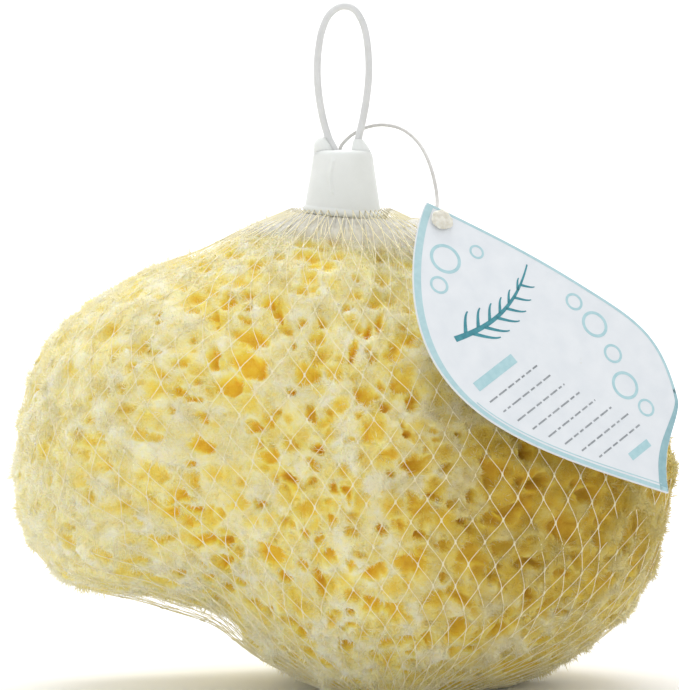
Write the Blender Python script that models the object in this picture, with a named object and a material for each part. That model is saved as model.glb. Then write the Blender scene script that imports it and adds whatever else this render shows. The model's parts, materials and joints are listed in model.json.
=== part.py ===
"""A natural bath sponge in a net bag.

The bag is gathered into a small oval cap with a hanging loop, and a leaf-shaped
swing tag hangs from the cap on a thin string. Metres, +Z up, the front faces -Y.
The origin is on the ground under the middle of the object, and the sponge stands
on its own flattened underside.
"""

import math

import bmesh
import bpy
import numpy as np
from mathutils import Matrix, Vector

# The sponge: swellings given by their centres and half-sizes, melted together
LOBES = (
    ((0.026, 0.000, 0.057), (0.0615, 0.0560, 0.0595)),
    ((-0.034, -0.004, 0.067), (0.0540, 0.0450, 0.0460)),
    ((-0.008, 0.000, 0.074), (0.0500, 0.0430, 0.0490)),
    ((0.012, -0.014, 0.041), (0.0460, 0.0400, 0.0420)),
    ((0.002, 0.014, 0.034), (0.0280, 0.0340, 0.0365)),
    ((0.008, 0.022, 0.064), (0.0540, 0.0330, 0.0420)),
    ((-0.057, -0.006, 0.051), (0.0270, 0.0320, 0.0250)),
    ((0.050, 0.000, 0.038), (0.0310, 0.0360, 0.0300)),
)
LOBE_BLEND = 18.0  # larger keeps the swellings more apart
HEART = np.array((0.0, 0.0, 0.058))  # a ray from here meets the skin once
DIMPLE_DEPTH = 0.0042  # where the cap presses in
DIMPLE_WIDTH = 0.012
LUMP_COUNT = 110
LUMP_HEIGHT = 0.0022
LUMP_WIDTH = 0.16  # radians, seen from the heart
SKIN_POINTS = 850
GROUND_SNAP = 0.0008
MIDDLE_SHIFT = (0.0, 0.0021, 0.0)  # brings the middle of the whole over the origin

# The pits: the large ones are placed by eye in the photograph's pixels
PIXEL = 0.000268  # metres across one pixel, from the sponge's nominal width
PIXEL_MIDDLE = 341.0
PIXEL_GROUND = 685.0
FRONT_PITS = (  # pixel across, pixel down, half-width, half-height
    (222, 372, 8, 17), (249, 352, 13, 15), (268, 304, 9, 8), (226, 300, 8, 7),
    (307, 373, 12, 10), (335, 373, 9, 9), (364, 397, 12, 10), (374, 328, 8, 6),
    (397, 398, 11, 10), (374, 431, 12, 10), (314, 411, 6, 12), (254, 426, 8, 8),
    (203, 451, 8, 7), (271, 459, 12, 14), (319, 449, 8, 7), (419, 463, 14, 14),
    (398, 440, 7, 8), (340, 488, 10, 9), (305, 509, 13, 12), (272, 553, 14, 13),
    (289, 579, 8, 8), (321, 583, 11, 15), (331, 553, 9, 8), (376, 572, 13, 12),
    (416, 568, 14, 13), (420, 507, 13, 12), (449, 506, 8, 8), (422, 538, 9, 8),
    (372, 607, 12, 10), (398, 622, 11, 10), (428, 638, 10, 9), (472, 555, 13, 12),
    (464, 597, 12, 10), (461, 626, 11, 9), (494, 629, 9, 9), (472, 651, 8, 7),
    (347, 648, 9, 8), (490, 474, 8, 17), (525, 452, 9, 9), (541, 483, 9, 9),
    (513, 511, 13, 9), (531, 563, 9, 9), (566, 529, 12, 19), (589, 492, 10, 9),
    (538, 640, 10, 9), (587, 602, 8, 7), (626, 576, 7, 7), (498, 579, 8, 8),
    (91, 426, 7, 7), (80, 487, 8, 9), (110, 561, 12, 14), (145, 434, 8, 7),
    (137, 524, 9, 8), (158, 472, 12, 9), (183, 501, 13, 10), (206, 539, 14, 10),
    (228, 570, 11, 9), (239, 499, 11, 10), (187, 395, 9, 8), (153, 350, 8, 7),
    (191, 305, 7, 7), (168, 513, 8, 7), (44, 478, 6, 9), (123, 392, 7, 7),
    (288, 330, 7, 6), (214, 340, 6, 7), (340, 320, 7, 6), (300, 270, 8, 6),
    (283, 420, 7, 7), (233, 462, 6, 7), (352, 520, 8, 7), (383, 528, 7, 7),
    (250, 600, 8, 7), (300, 632, 8, 7), (438, 430, 8, 7), (470, 500, 8, 8),
    (372, 362, 7, 7), (640, 530, 7, 10), (610, 552, 7, 7), (70, 540, 8, 7),
    (62, 400, 7, 8), (108, 340, 8, 6), (100, 300, 7, 6), (160, 440, 7, 6),
)
SMALL_PIT_COUNT = 68
SMALL_PIT_RADIUS = (0.0022, 0.0038)
PIT_CLEARANCE = 0.0010  # least skin left between two pits
PIT_LOWEST = 0.007  # the underside that it stands on stays whole
PIT_FLOOR = 0.6  # floor's width over mouth's width
PIT_DEPTH = 1.7  # in mouth radii
MOUTH_POINTS = 7
FLOOR_POINTS = 4
MOUTH_RAISE = 0.0004  # the rim stands proud of the skin

# The net bag: a lattice of flat strands, and the gathered neck in the cap
NET_COLUMNS = 18
NET_ROWS = 9
NET_GAP = 0.0022
NET_TENT = 0.0026  # the net stands off the sponge near the cap
NET_TENT_WIDTH = 0.030
NET_STRAND_WIDTH = 0.0012
NET_STRAND_DEPTH = 0.0009
NET_CLEARANCE = 0.0007  # least gap between a strand and the sponge
NET_HEM_HEIGHT = 0.0030
NET_NECK_ANGLE = 0.255  # radians from +Z, seen from the heart
NECK_FOLD = 0.05  # how deep the gathers are, over the neck's radius
NECK_RINGS = (  # half-width, half-depth, height
    (0.0134, 0.0106, 0.1274),
    (0.0119, 0.0091, 0.1258),
    (0.0110, 0.0082, 0.1241),
    (0.0092, 0.0064, 0.1238),
    (0.0080, 0.0053, 0.1250),
    (0.0072, 0.0046, 0.1276),
    (0.0054, 0.0034, 0.1376),
)
NECK_UNDER_RING = (0.0104, 0.0082, 0.1229)
NECK_UNDER_MIDDLE = 0.1222

# The cap: an oval cone, open below
CAP_X = 0.0005
CAP_SEGMENTS = 24
CAP_INSIDE = (  # half-width, half-depth, height, from the roof down
    (0.0064, 0.0043, 0.1410),
    (0.0090, 0.0062, 0.1252),
)
CAP_ROOF_HOLLOW = (0.0056, 0.0037, 0.1380, 0.1420)  # half-width, half-depth, from, to
CAP_OUTSIDE = (  # from the rim up
    (0.0104, 0.0076, 0.1252),
    (0.0104, 0.0076, 0.1260),
    (0.0101, 0.0073, 0.1264),
    (0.0078, 0.0056, 0.1427),
    (0.0072, 0.0051, 0.1434),
)
CAP_BOSSES = (  # across, half-width, half-height
    (-0.0060, 0.0016, 0.0034),
    (0.0058, 0.0021, 0.0032),
)
CAP_HOLE_SPAN = (0.1400, 0.1480)

# The hanging loop: a plastic cord through two holes of the cap
LOOP_RADIUS = 0.0009
LOOP_HOLE_RADIUS = 0.00135
LOOP_ROUTE = (  # across and up
    (-0.0024, 0.1388), (-0.0024, 0.1440), (-0.0040, 0.1490), (-0.0056, 0.1541),
    (-0.0067, 0.1600), (-0.0069, 0.1662), (-0.0061, 0.1722), (-0.0040, 0.1782),
    (0.0004, 0.1822), (0.0043, 0.1808), (0.0067, 0.1764), (0.0079, 0.1700),
    (0.0082, 0.1634), (0.0077, 0.1585), (0.0063, 0.1530), (0.0047, 0.1478),
    (0.0043, 0.1440), (0.0043, 0.1388),
)
LOOP_POINTS = 28

# The swing tag: a bent card leaf, from its top tip to its bottom tip
TAG_MIDDLE = (0.0549, -0.0409, 0.0945)
TAG_FACING = math.radians(31.0)  # turned this far from the front to the right
TAG_TILT = math.radians(29.0)  # leaning back on the sponge
TAG_ROLL = math.radians(60.8)  # its long axis runs down to the right
TAG_LENGTH = 0.099
TAG_LEFT_WIDTH = 0.0351
TAG_LEFT_FULLNESS = 0.81
TAG_RIGHT_WIDTH = 0.0251
TAG_RIGHT_FULLNESS = 0.65
TAG_BEND_RADIUS = 0.500
TAG_THICKNESS = 0.0005
TAG_STATIONS = 24
TAG_HOLE_PLACE = (-0.0441, -0.0006)  # along and across, from the middle
TAG_HOLE_RADIUS = 0.0021

# The string: out of the cap, round behind the loop, into the tag's hole
STRING_RADIUS = 0.00033
STRING_HOLE_RADIUS = 0.0008
STRING_HOLE_PLACE = (-0.0004, 0.0020)
STRING_ROUTE = (
    (-0.0004, 0.0020, 0.1404), (-0.0002, 0.0020, 0.1440), (0.0016, 0.0024, 0.1464),
    (0.0042, 0.0025, 0.1483), (0.0074, 0.0018, 0.1497), (0.0112, -0.0005, 0.1503),
    (0.0155, -0.0042, 0.1496), (0.0195, -0.0090, 0.1474), (0.0222, -0.0140, 0.1444),
    (0.0240, -0.0186, 0.1406), (0.0250, -0.0222, 0.1364),
)
STRING_POINTS = 34
STRING_LEAD = 0.0035  # straight run into the tag's hole
KNOT_SIZE = (0.0028, 0.0025, 0.0011)
KNOT_LUMP = 0.07  # how uneven the knot is, as a share of its size
GAP = 0.0003  # clear space between the knot and the card


def lobe_field(points):
    """How far outside the melted lobes each point is, as a share, and the slope."""
    total = np.zeros(points.shape[:-1])
    slope = np.zeros(points.shape)
    for centre, sizes in LOBES:
        offset = (points - np.array(centre)) / np.array(sizes)
        reach = np.sqrt((offset**2).sum(-1)) + 1e-12
        weight = np.exp(-LOBE_BLEND * (reach - 1.0))
        total += weight
        slope += (weight / reach)[..., None] * offset / np.array(sizes)
    return -np.log(total) / LOBE_BLEND, slope / total[..., None]


def reach_of_skin(directions):
    """Distance from the heart to the melted lobes' skin, by halving the interval."""
    near = np.full(len(directions), 0.010)
    far = np.full(len(directions), 0.140)
    for _ in range(34):
        middle = (near + far) / 2
        inside = lobe_field(HEART + directions * middle[:, None])[0] < 0
        near = np.where(inside, middle, near)
        far = np.where(inside, far, middle)
    return near


def even_directions(count):
    """Unit vectors spread evenly over a sphere along a spiral."""
    step = np.arange(count) + 0.5
    height = 1.0 - 2.0 * step / count
    angle = math.pi * (1.0 + math.sqrt(5.0)) * step
    ring = np.sqrt(1.0 - height**2)
    return np.stack([ring * np.cos(angle), ring * np.sin(angle), height], axis=1)


def unit(vectors):
    return vectors / np.linalg.norm(vectors, axis=-1, keepdims=True)


def lumps(directions):
    """Soft swellings and hollows, each a bell curve about its own direction."""
    rng = np.random.default_rng(11)
    middles = unit(even_directions(LUMP_COUNT) + rng.normal(0, 0.09, (LUMP_COUNT, 3)))
    heights = rng.uniform(-1.0, 1.0, LUMP_COUNT) * LUMP_HEIGHT
    away = 1.0 - directions @ middles.T
    return np.exp(-2.0 * away / LUMP_WIDTH**2) @ heights


def sponge_reach(directions):
    """Distance from the heart to the sponge's skin, with its lumps and dimple."""
    reach = reach_of_skin(directions)
    off_axis = np.hypot(directions[:, 0], directions[:, 1]) * reach
    at_top = (directions[:, 2] > 0) * np.exp(-((off_axis / DIMPLE_WIDTH) ** 2))
    return reach + lumps(directions) * (1.0 - at_top) - DIMPLE_DEPTH * at_top


def front_direction(across, up):
    """Direction from the heart to the skin that shows at this place from the front."""
    near = np.full(len(across), -0.090)
    far = np.full(len(across), 0.0)
    for _ in range(34):
        middle = (near + far) / 2
        inside = lobe_field(np.stack([across, middle, up], axis=1))[0] < 0
        far = np.where(inside, middle, far)
        near = np.where(inside, near, middle)
    return unit(np.stack([across, far, up], axis=1) - HEART)


def pit_list():
    """Each pit's direction from the heart and its half-width and half-height."""
    pixels = np.array(FRONT_PITS, float)
    across = (pixels[:, 0] - PIXEL_MIDDLE) * PIXEL
    up = (PIXEL_GROUND - pixels[:, 1]) * PIXEL
    directions = list(front_direction(across, up))
    sizes = list(pixels[:, 2:] * PIXEL)
    rng = np.random.default_rng(4)
    tries = unit(rng.normal(0, 1, (1400, 3)))
    reach = sponge_reach(tries)
    small_left = SMALL_PIT_COUNT
    for direction, distance in zip(tries, reach):
        place = HEART + direction * distance
        radius = rng.uniform(*SMALL_PIT_RADIUS)
        if place[2] < PIT_LOWEST or direction[2] > 0.93 or not small_left:
            continue
        apart = np.arccos(np.clip(np.array(directions) @ direction, -1, 1)) * distance
        if (apart > radius + np.max(sizes, axis=1) + 2 * PIT_CLEARANCE).all():
            directions.append(direction)
            sizes.append(np.array((radius, radius * rng.uniform(0.75, 1.0))))
            small_left -= 1
    return np.array(directions), np.array(sizes)


def pit_rings(directions, sizes):
    """Directions of each pit's mouth, floor and bottom, and how deep they lie."""
    side = unit(np.cross(np.array((0.0, 0.0, 1.0)), directions))
    rise = np.cross(directions, side)
    reach = sponge_reach(directions)
    places, depths = [directions], [PIT_DEPTH * 1.12 * sizes.mean(axis=1)]
    for count, share, depth, raised in (
        (MOUTH_POINTS, 1.0, 0.0, MOUTH_RAISE),
        (FLOOR_POINTS, PIT_FLOOR, PIT_DEPTH, 0.0),
    ):
        for step in range(count):
            angle = 2 * math.pi * (step + 0.5 * share) / count
            wide = (share * math.cos(angle) * sizes[:, 0] / reach)[:, None]
            high = (share * math.sin(angle) * sizes[:, 1] / reach)[:, None]
            places.append(unit(directions + side * wide + rise * high))
            depths.append(depth * sizes.mean(axis=1) - raised)
    return np.concatenate(places), np.concatenate(depths)


def mesh_object(name, mesh_or_bmesh, colour, roughness, smooth_angle=40.0):
    """A named object with its own material, shaded smooth except at sharp edges."""
    if isinstance(mesh_or_bmesh, bmesh.types.BMesh):
        mesh = bpy.data.meshes.new(name)
        mesh_or_bmesh.to_mesh(mesh)
        mesh_or_bmesh.free()
    else:
        mesh = mesh_or_bmesh
    mesh.shade_smooth()
    mesh.set_sharp_from_angle(angle=math.radians(smooth_angle))
    made = bpy.data.objects.new(name, mesh)
    bpy.context.scene.collection.objects.link(made)
    paint(made, name, colour, roughness)
    return made


def paint(made, name, colour, roughness):
    finish = bpy.data.materials.new(name)
    finish.use_nodes = True
    shader = finish.node_tree.nodes["Principled BSDF"]
    shader.inputs["Base Color"].default_value = (*colour, 1.0)
    shader.inputs["Roughness"].default_value = roughness
    shader.inputs["Metallic"].default_value = 0.0
    made.data.materials.append(finish)


def make_sponge():
    """Points on a sphere, hulled there, then moved out to the skin and into the pits."""
    pit_directions, pit_sizes = pit_list()
    ring_directions, ring_depths = pit_rings(pit_directions, pit_sizes)
    skin = even_directions(SKIN_POINTS)
    reach = sponge_reach(skin)
    apart = np.arccos(np.clip(skin @ pit_directions.T, -1, 1)) * reach[:, None]
    skin = skin[(apart > 1.22 * pit_sizes.mean(axis=1) + 0.0006).all(axis=1)]
    directions = np.concatenate([skin, ring_directions])
    depths = np.concatenate([np.zeros(len(skin)), ring_depths])

    sponge = bmesh.new()
    for direction in directions:
        sponge.verts.new(direction)
    sponge.verts.ensure_lookup_table()
    points = list(sponge.verts)
    bmesh.ops.convex_hull(sponge, input=points)
    places = HEART + directions * (sponge_reach(directions) - depths)[:, None]
    near_ground = np.abs(places[:, 2]) < GROUND_SNAP
    places[near_ground, 2] = 0.0
    for point, place in zip(points, places):
        point.co = place
    loose = [point for point in sponge.verts if not point.link_faces]
    bmesh.ops.delete(sponge, geom=loose, context="VERTS")
    cut = bmesh.ops.bisect_plane(
        sponge,
        geom=sponge.verts[:] + sponge.edges[:] + sponge.faces[:],
        dist=1e-6,
        plane_co=(0.0, 0.0, 0.0),
        plane_no=(0.0, 0.0, -1.0),
        clear_outer=True,
    )
    rim = [part for part in cut["geom_cut"] if isinstance(part, bmesh.types.BMEdge)]
    bmesh.ops.contextual_create(sponge, geom=rim)
    bmesh.ops.recalc_face_normals(sponge, faces=sponge.faces)
    return mesh_object("sponge", sponge, (0.86, 0.76, 0.38), 0.95, 35.0)


def net_surface(directions):
    """Distance from the heart to the net, tented out near the cap."""
    reach = sponge_reach(directions)
    off_axis = np.hypot(directions[:, 0], directions[:, 1]) * reach
    tent = (directions[:, 2] > 0) * NET_TENT * np.exp(-((off_axis / NET_TENT_WIDTH) ** 2))
    return reach + NET_GAP + tent


def hem_angle(turns):
    """Angle from +Z at which the net comes down to its hem, for each turn about Z."""
    low = np.full(len(turns), 0.5 * math.pi)
    high = np.full(len(turns), math.pi - 0.02)
    for _ in range(30):
        middle = (low + high) / 2
        directions = polar(middle, turns)
        above = HEART[2] + directions[:, 2] * net_surface(directions) > NET_HEM_HEIGHT
        low = np.where(above, middle, low)
        high = np.where(above, high, middle)
    return low


def polar(from_top, turns):
    return np.stack(
        [np.sin(from_top) * np.cos(turns), np.sin(from_top) * np.sin(turns), np.cos(from_top)],
        axis=1,
    )


def net_directions():
    """The lattice's crossings, row by row; every second row is half a column round."""
    rows = []
    for row in range(NET_ROWS + 1):
        turns = 2 * math.pi * (np.arange(NET_COLUMNS) + 0.5 * (row % 2)) / NET_COLUMNS
        down = row / NET_ROWS
        rows.append(polar(NET_NECK_ANGLE + (hem_angle(turns) - NET_NECK_ANGLE) * down, turns))
    return np.concatenate(rows)


def crossing(row, column):
    return row * NET_COLUMNS + column % NET_COLUMNS


def net_cells():
    """Each cell's crossings, counter-clockwise from outside: diamonds, and a row of
    triangles along the neck and along the hem."""
    cells = []
    for column in range(NET_COLUMNS):
        cells.append((crossing(0, column), crossing(1, column), crossing(0, column + 1)))
    for row in range(NET_ROWS - 1):
        shift = row % 2
        for column in range(NET_COLUMNS):
            left = crossing(row + 1, column - 1 + shift)
            right = crossing(row + 1, column + shift)
            cells.append((crossing(row, column), left, crossing(row + 2, column), right))
    shift = NET_ROWS % 2
    for column in range(NET_COLUMNS):
        above = crossing(NET_ROWS - 1, column + shift)
        cells.append((above, crossing(NET_ROWS, column), crossing(NET_ROWS, column + 1)))
    return cells


def clear_of_sponge(places, cells):
    """Moves crossings out until no straight strand between two comes too near."""
    pairs = {tuple(sorted((a, b))) for cell in cells for a, b in zip(cell, cell[1:] + cell[:1])}
    pairs = np.array(sorted(pairs))
    for _ in range(4):
        for share in (0.15, 0.3, 0.5, 0.7, 0.85):
            middle = places[pairs[:, 0]] * (1 - share) + places[pairs[:, 1]] * share
            ray = middle - HEART
            reach = np.linalg.norm(ray, axis=1)
            short = np.maximum(0.0, sponge_reach(unit(ray)) + NET_CLEARANCE - reach)
            for end in (0, 1):
                push = np.zeros(len(places))
                np.maximum.at(push, pairs[:, end], short)
                places += unit(places - HEART) * push[:, None]
    return places


def strand_mesh(places, normals, cells, neck, hem):
    """A closed lattice whose strands are wedges: flat outside, an edge towards the
    sponge. Returns it with the top loop's outer and inner crossings left open."""
    net = bmesh.new()
    inner = [net.verts.new(place) for place in places]
    outer = {}
    around = {}
    for number, cell in enumerate(cells):
        for here, before, after in zip(cell, cell[-1:] + cell[:-1], cell[1:] + cell[:1]):
            back = unit(places[before] - places[here])
            ahead = unit(places[after] - places[here])
            lean = max(np.linalg.norm(np.cross(back, ahead)), 0.35)
            corner = places[here] + (back + ahead) * (NET_STRAND_WIDTH / 2 / lean)
            corner = corner + normals[here] * NET_STRAND_DEPTH
            outer[number, here] = net.verts.new(corner)
            around[here, after] = (number, before)
    for number, loop, away in ((-1, neck, 1.0), (-2, hem, -1.0)):
        for here, before, after in zip(loop, loop[-1:] + loop[:-1], loop[1:] + loop[:1]):
            along = unit(places[after] - places[before])
            out = np.cross(normals[here], along) * NET_STRAND_WIDTH / 2
            corner = places[here] + out + normals[here] * NET_STRAND_DEPTH
            outer[number, here] = net.verts.new(corner)
            around[here, after] = (number, before)
    for (here, after), (number, _) in around.items():
        other = around[after, here][0]
        if here < after:
            net.faces.new(
                (outer[other, here], outer[other, after], outer[number, after], outer[number, here])
            )
        if number != -1:
            net.faces.new((outer[number, here], outer[number, after], inner[after], inner[here]))
    for here in range(len(places)):
        start = next(after for crossing_from, after in around if crossing_from == here)
        ring, turn = [], start
        while not ring or turn != start:
            number, before = around[here, turn]
            ring.append(outer[number, here])
            turn = before
        net.faces.new(ring)
    return net, [outer[-1, here] for here in neck], [inner[here] for here in neck]


def oval_ring(net, half_width, half_depth, height, turns, middle=0.0):
    return [
        net.verts.new((middle + half_width * math.cos(turn), half_depth * math.sin(turn), height))
        for turn in turns
    ]


def bridge(net, lower, upper):
    """Faces between two rings that both run counter-clockwise seen from above."""
    for step in range(len(lower)):
        after = (step + 1) % len(lower)
        net.faces.new((lower[step], lower[after], upper[after], upper[step]))


def make_net_bag():
    cells = net_cells()
    directions = net_directions()
    places = HEART + directions * net_surface(directions)[:, None]
    places = clear_of_sponge(places, cells)
    normals = unit(lobe_field(places)[1])
    neck = tuple(crossing(0, column) for column in range(NET_COLUMNS))
    hem = tuple(crossing(NET_ROWS, column) for column in reversed(range(NET_COLUMNS)))
    net, outside, inside = strand_mesh(places, normals, cells, neck, hem)

    turns = [2 * math.pi * column / NET_COLUMNS for column in range(NET_COLUMNS)]
    ring = outside
    for half_width, half_depth, height in NECK_RINGS:
        above = oval_ring(net, half_width, half_depth, height, turns, CAP_X)
        for point in above[::2]:
            point.co.x -= (point.co.x - CAP_X) * NECK_FOLD
            point.co.y -= point.co.y * NECK_FOLD
        bridge(net, ring, above)
        ring = above
    net.faces.new(ring)
    under = oval_ring(net, *NECK_UNDER_RING, turns, CAP_X)
    bridge(net, under, inside)
    middle = net.verts.new((CAP_X, 0.0, NECK_UNDER_MIDDLE))
    for step in range(NET_COLUMNS):
        net.faces.new((under[(step + 1) % NET_COLUMNS], under[step], middle))
    bmesh.ops.recalc_face_normals(net, faces=net.faces)
    return mesh_object("net_bag", net, (0.90, 0.87, 0.78), 0.5, 30.0)


def cutter(name, mesh, operation, target):
    """A helper that a Boolean on the target joins or cuts away; it isn't a piece."""
    made = bpy.data.objects.new(name, mesh)
    bpy.context.scene.collection.objects.link(made)
    made.hide_render = True
    made.display_type = "WIRE"
    step = target.modifiers.new(name, "BOOLEAN")
    step.operation = operation
    step.solver = "EXACT"
    step.object = made
    return made


def cylinder_mesh(name, radius, low, high, segments=16):
    """A cylinder along Z from low to high, about its own origin."""
    shape = bmesh.new()
    bmesh.ops.create_cone(
        shape,
        cap_ends=True,
        segments=segments,
        radius1=radius,
        radius2=radius,
        depth=high - low,
        matrix=Matrix.Translation((0.0, 0.0, (low + high) / 2)),
    )
    mesh = bpy.data.meshes.new(name)
    shape.to_mesh(mesh)
    shape.free()
    return mesh


def ball_bmesh(sizes, across, rings):
    shape = bmesh.new()
    bmesh.ops.create_uvsphere(
        shape, u_segments=across, v_segments=rings, radius=1.0, matrix=Matrix.Diagonal((*sizes, 1.0))
    )
    return shape


def make_cap():
    """An oval cone shell with two bosses on its roof, and holes for loop and string."""
    shell = bmesh.new()
    turns = [2 * math.pi * step / CAP_SEGMENTS for step in range(CAP_SEGMENTS)]
    rings = [oval_ring(shell, *sizes, turns) for sizes in CAP_INSIDE + CAP_OUTSIDE]
    shell.faces.new(rings[0])
    shell.faces.new(rings[-1])
    for lower, upper in zip(rings, rings[1:]):
        bridge(shell, lower, upper)
    bmesh.ops.recalc_face_normals(shell, faces=shell.faces)
    cap = mesh_object("cap", shell, (0.88, 0.88, 0.86), 0.35)
    cap.location = (CAP_X, 0.0, 0.0)

    roof = CAP_OUTSIDE[-1][2]
    for number, (across, half_width, half_height) in enumerate(CAP_BOSSES):
        ball = ball_bmesh((half_width, half_width * 0.9, half_height), 8, 6)
        mesh = bpy.data.meshes.new("boss")
        ball.to_mesh(mesh)
        ball.free()
        boss = cutter(f"boss_{number}", mesh, "UNION", cap)
        boss.location = (across, 0.0, roof)
    half_width, half_depth, low, high = CAP_ROOF_HOLLOW
    hollow = cylinder_mesh("roof_hollow", half_width, low, high, 18)
    cleared = cutter("roof_hollow", hollow, "DIFFERENCE", cap)
    cleared.scale = (1.0, half_depth / half_width, 1.0)
    cleared.location = (CAP_X, 0.0, 0.0)
    left, right = LOOP_ROUTE[0][0], LOOP_ROUTE[-1][0]
    for name, across, back, radius in (
        ("left_leg_hole", left, 0.0, LOOP_HOLE_RADIUS),
        ("right_leg_hole", right, 0.0, LOOP_HOLE_RADIUS),
        ("string_hole", *STRING_HOLE_PLACE, STRING_HOLE_RADIUS),
    ):
        hole = cutter(name, cylinder_mesh(name, radius, *CAP_HOLE_SPAN, 12), "DIFFERENCE", cap)
        hole.location = (across, back, 0.0)
    return cap


def through(route, count):
    """Evenly spaced points on the smooth curve through the route's points."""
    route = np.array(route, float)
    ends = np.vstack([2 * route[0] - route[1], route, 2 * route[-1] - route[-2]])
    share = np.linspace(0, 1, 20, endpoint=False)[:, None]
    runs = []
    for a, b, c, d in zip(ends, ends[1:], ends[2:], ends[3:]):
        bend = 2 * a - 5 * b + 4 * c - d
        twist = 3 * (b - c) + d - a
        runs.append(b + 0.5 * share * (c - a + share * (bend + share * twist)))
    fine = np.vstack([*runs, route[-1:]])
    walked = np.concatenate([[0], np.cumsum(np.linalg.norm(np.diff(fine, axis=0), axis=1))])
    stops = np.linspace(0, walked[-1], count)
    return np.stack([np.interp(stops, walked, axis) for axis in fine.T], axis=1)


def tube(name, points, radius, colour, roughness):
    """A round cord along these points: a curve with a bevel and filled ends."""
    line = bpy.data.curves.new(name, "CURVE")
    line.dimensions = "3D"
    line.bevel_depth = radius
    line.bevel_resolution = 2
    line.use_fill_caps = True
    run = line.splines.new("POLY")
    run.points.add(len(points) - 1)
    for point, place in zip(run.points, points):
        point.co = (*place, 1.0)
    run.use_smooth = True
    made = bpy.data.objects.new(name, line)
    bpy.context.scene.collection.objects.link(made)
    paint(made, name, colour, roughness)
    return made


def make_hang_loop():
    route = [(across, 0.0, up) for across, up in LOOP_ROUTE]
    return tube("hang_loop", through(route, LOOP_POINTS), LOOP_RADIUS, (0.87, 0.87, 0.85), 0.35)


def tag_frame():
    """The tag's own axes in the world: along it, across it and out of its face."""
    out = Vector(
        (
            math.sin(TAG_FACING) * math.cos(TAG_TILT),
            -math.cos(TAG_FACING) * math.cos(TAG_TILT),
            math.sin(TAG_TILT),
        )
    )
    level = Vector((math.cos(TAG_FACING), math.sin(TAG_FACING), 0.0))
    rise = out.cross(level)
    along = level * math.cos(TAG_ROLL) - rise * math.sin(TAG_ROLL)
    across = level * math.sin(TAG_ROLL) + rise * math.cos(TAG_ROLL)
    turn = Matrix((along, across, out)).transposed().to_4x4()
    return Matrix.Translation(TAG_MIDDLE) @ turn


def on_tag(along, across, out=0.0):
    """A place on the bent card, and the way its face looks there, in tag axes."""
    angle = along / TAG_BEND_RADIUS
    radius = TAG_BEND_RADIUS + out
    place = Vector((radius * math.sin(angle), across, radius * math.cos(angle) - TAG_BEND_RADIUS))
    return place, Vector((math.sin(angle), 0.0, math.cos(angle)))


def make_tag():
    """The leaf outline, bent about its short axis, with a punched hole."""
    card = bmesh.new()
    left, right = [], []
    for station in range(TAG_STATIONS + 1):
        share = (1 - math.cos(math.pi * station / TAG_STATIONS)) / 2
        along = (share - 0.5) * TAG_LENGTH
        if station in (0, TAG_STATIONS):
            tip = card.verts.new(on_tag(along, 0.0)[0])
            left.append(tip)
            right.append(tip)
            continue
        low = -TAG_LEFT_WIDTH * math.sin(math.pi * share**TAG_LEFT_FULLNESS)
        high = TAG_RIGHT_WIDTH * math.sin(math.pi * (1 - share) ** TAG_RIGHT_FULLNESS)
        left.append(card.verts.new(on_tag(along, low)[0]))
        right.append(card.verts.new(on_tag(along, high)[0]))
    for station in range(TAG_STATIONS):
        corners = (left[station], left[station + 1], right[station + 1], right[station])
        card.faces.new(list(dict.fromkeys(corners)))
    tag = mesh_object("tag", card, (0.84, 0.88, 0.91), 0.45, 30.0)
    tag.matrix_world = tag_frame()
    sheet = tag.modifiers.new("card", "SOLIDIFY")
    sheet.thickness = TAG_THICKNESS
    sheet.offset = 0.0
    sheet.use_even_offset = True
    place, facing = on_tag(*TAG_HOLE_PLACE)
    punch = cylinder_mesh("tag_hole", TAG_HOLE_RADIUS, -0.003, 0.003, 16)
    hole = cutter("tag_hole", punch, "DIFFERENCE", tag)
    hole.matrix_world = (
        tag_frame() @ Matrix.Translation(place) @ facing.to_track_quat("Z", "Y").to_matrix().to_4x4()
    )
    return tag


def hole_in_world():
    """The middle of the tag's hole, and the way the card faces there."""
    place, facing = on_tag(*TAG_HOLE_PLACE)
    frame = tag_frame()
    return frame @ place, (frame.to_3x3() @ facing).normalized()


def make_string_and_knot():
    """The string ends just behind the knot, which stands in front of the hole."""
    middle, facing = hole_in_world()
    route = list(STRING_ROUTE)
    for back in (STRING_LEAD, STRING_LEAD / 2, 0.0):
        route.append(tuple(middle - facing * back))
    string = tube(
        "tag_string", through(route, STRING_POINTS), STRING_RADIUS, (0.88, 0.88, 0.87), 0.4
    )
    ball = ball_bmesh(KNOT_SIZE, 10, 7)
    for point in ball.verts:
        way = point.co.normalized()
        turn = math.sin(5 * way.x + 2 * way.y) * math.cos(6 * way.y - way.z)
        point.co *= 1.0 + KNOT_LUMP * turn
    knot = mesh_object("string_knot", ball, (0.74, 0.72, 0.64), 0.6, 60.0)
    out = TAG_THICKNESS / 2 + GAP + KNOT_SIZE[2] * (1.0 + KNOT_LUMP)
    frame = tag_frame()
    knot.matrix_world = Matrix.Translation(middle + facing * out) @ frame.to_3x3().to_4x4()
    return string, knot


def main():
    for old in list(bpy.data.objects):
        bpy.data.objects.remove(old)
    make_sponge()
    make_net_bag()
    make_cap()
    make_hang_loop()
    make_tag()
    make_string_and_knot()
    stand = bpy.data.objects.new("stand", None)
    bpy.context.scene.collection.objects.link(stand)
    for made in list(bpy.data.objects):
        if made != stand:
            made.parent = stand
    stand.location = MIDDLE_SHIFT


main()
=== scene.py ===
import json
import math

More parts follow.
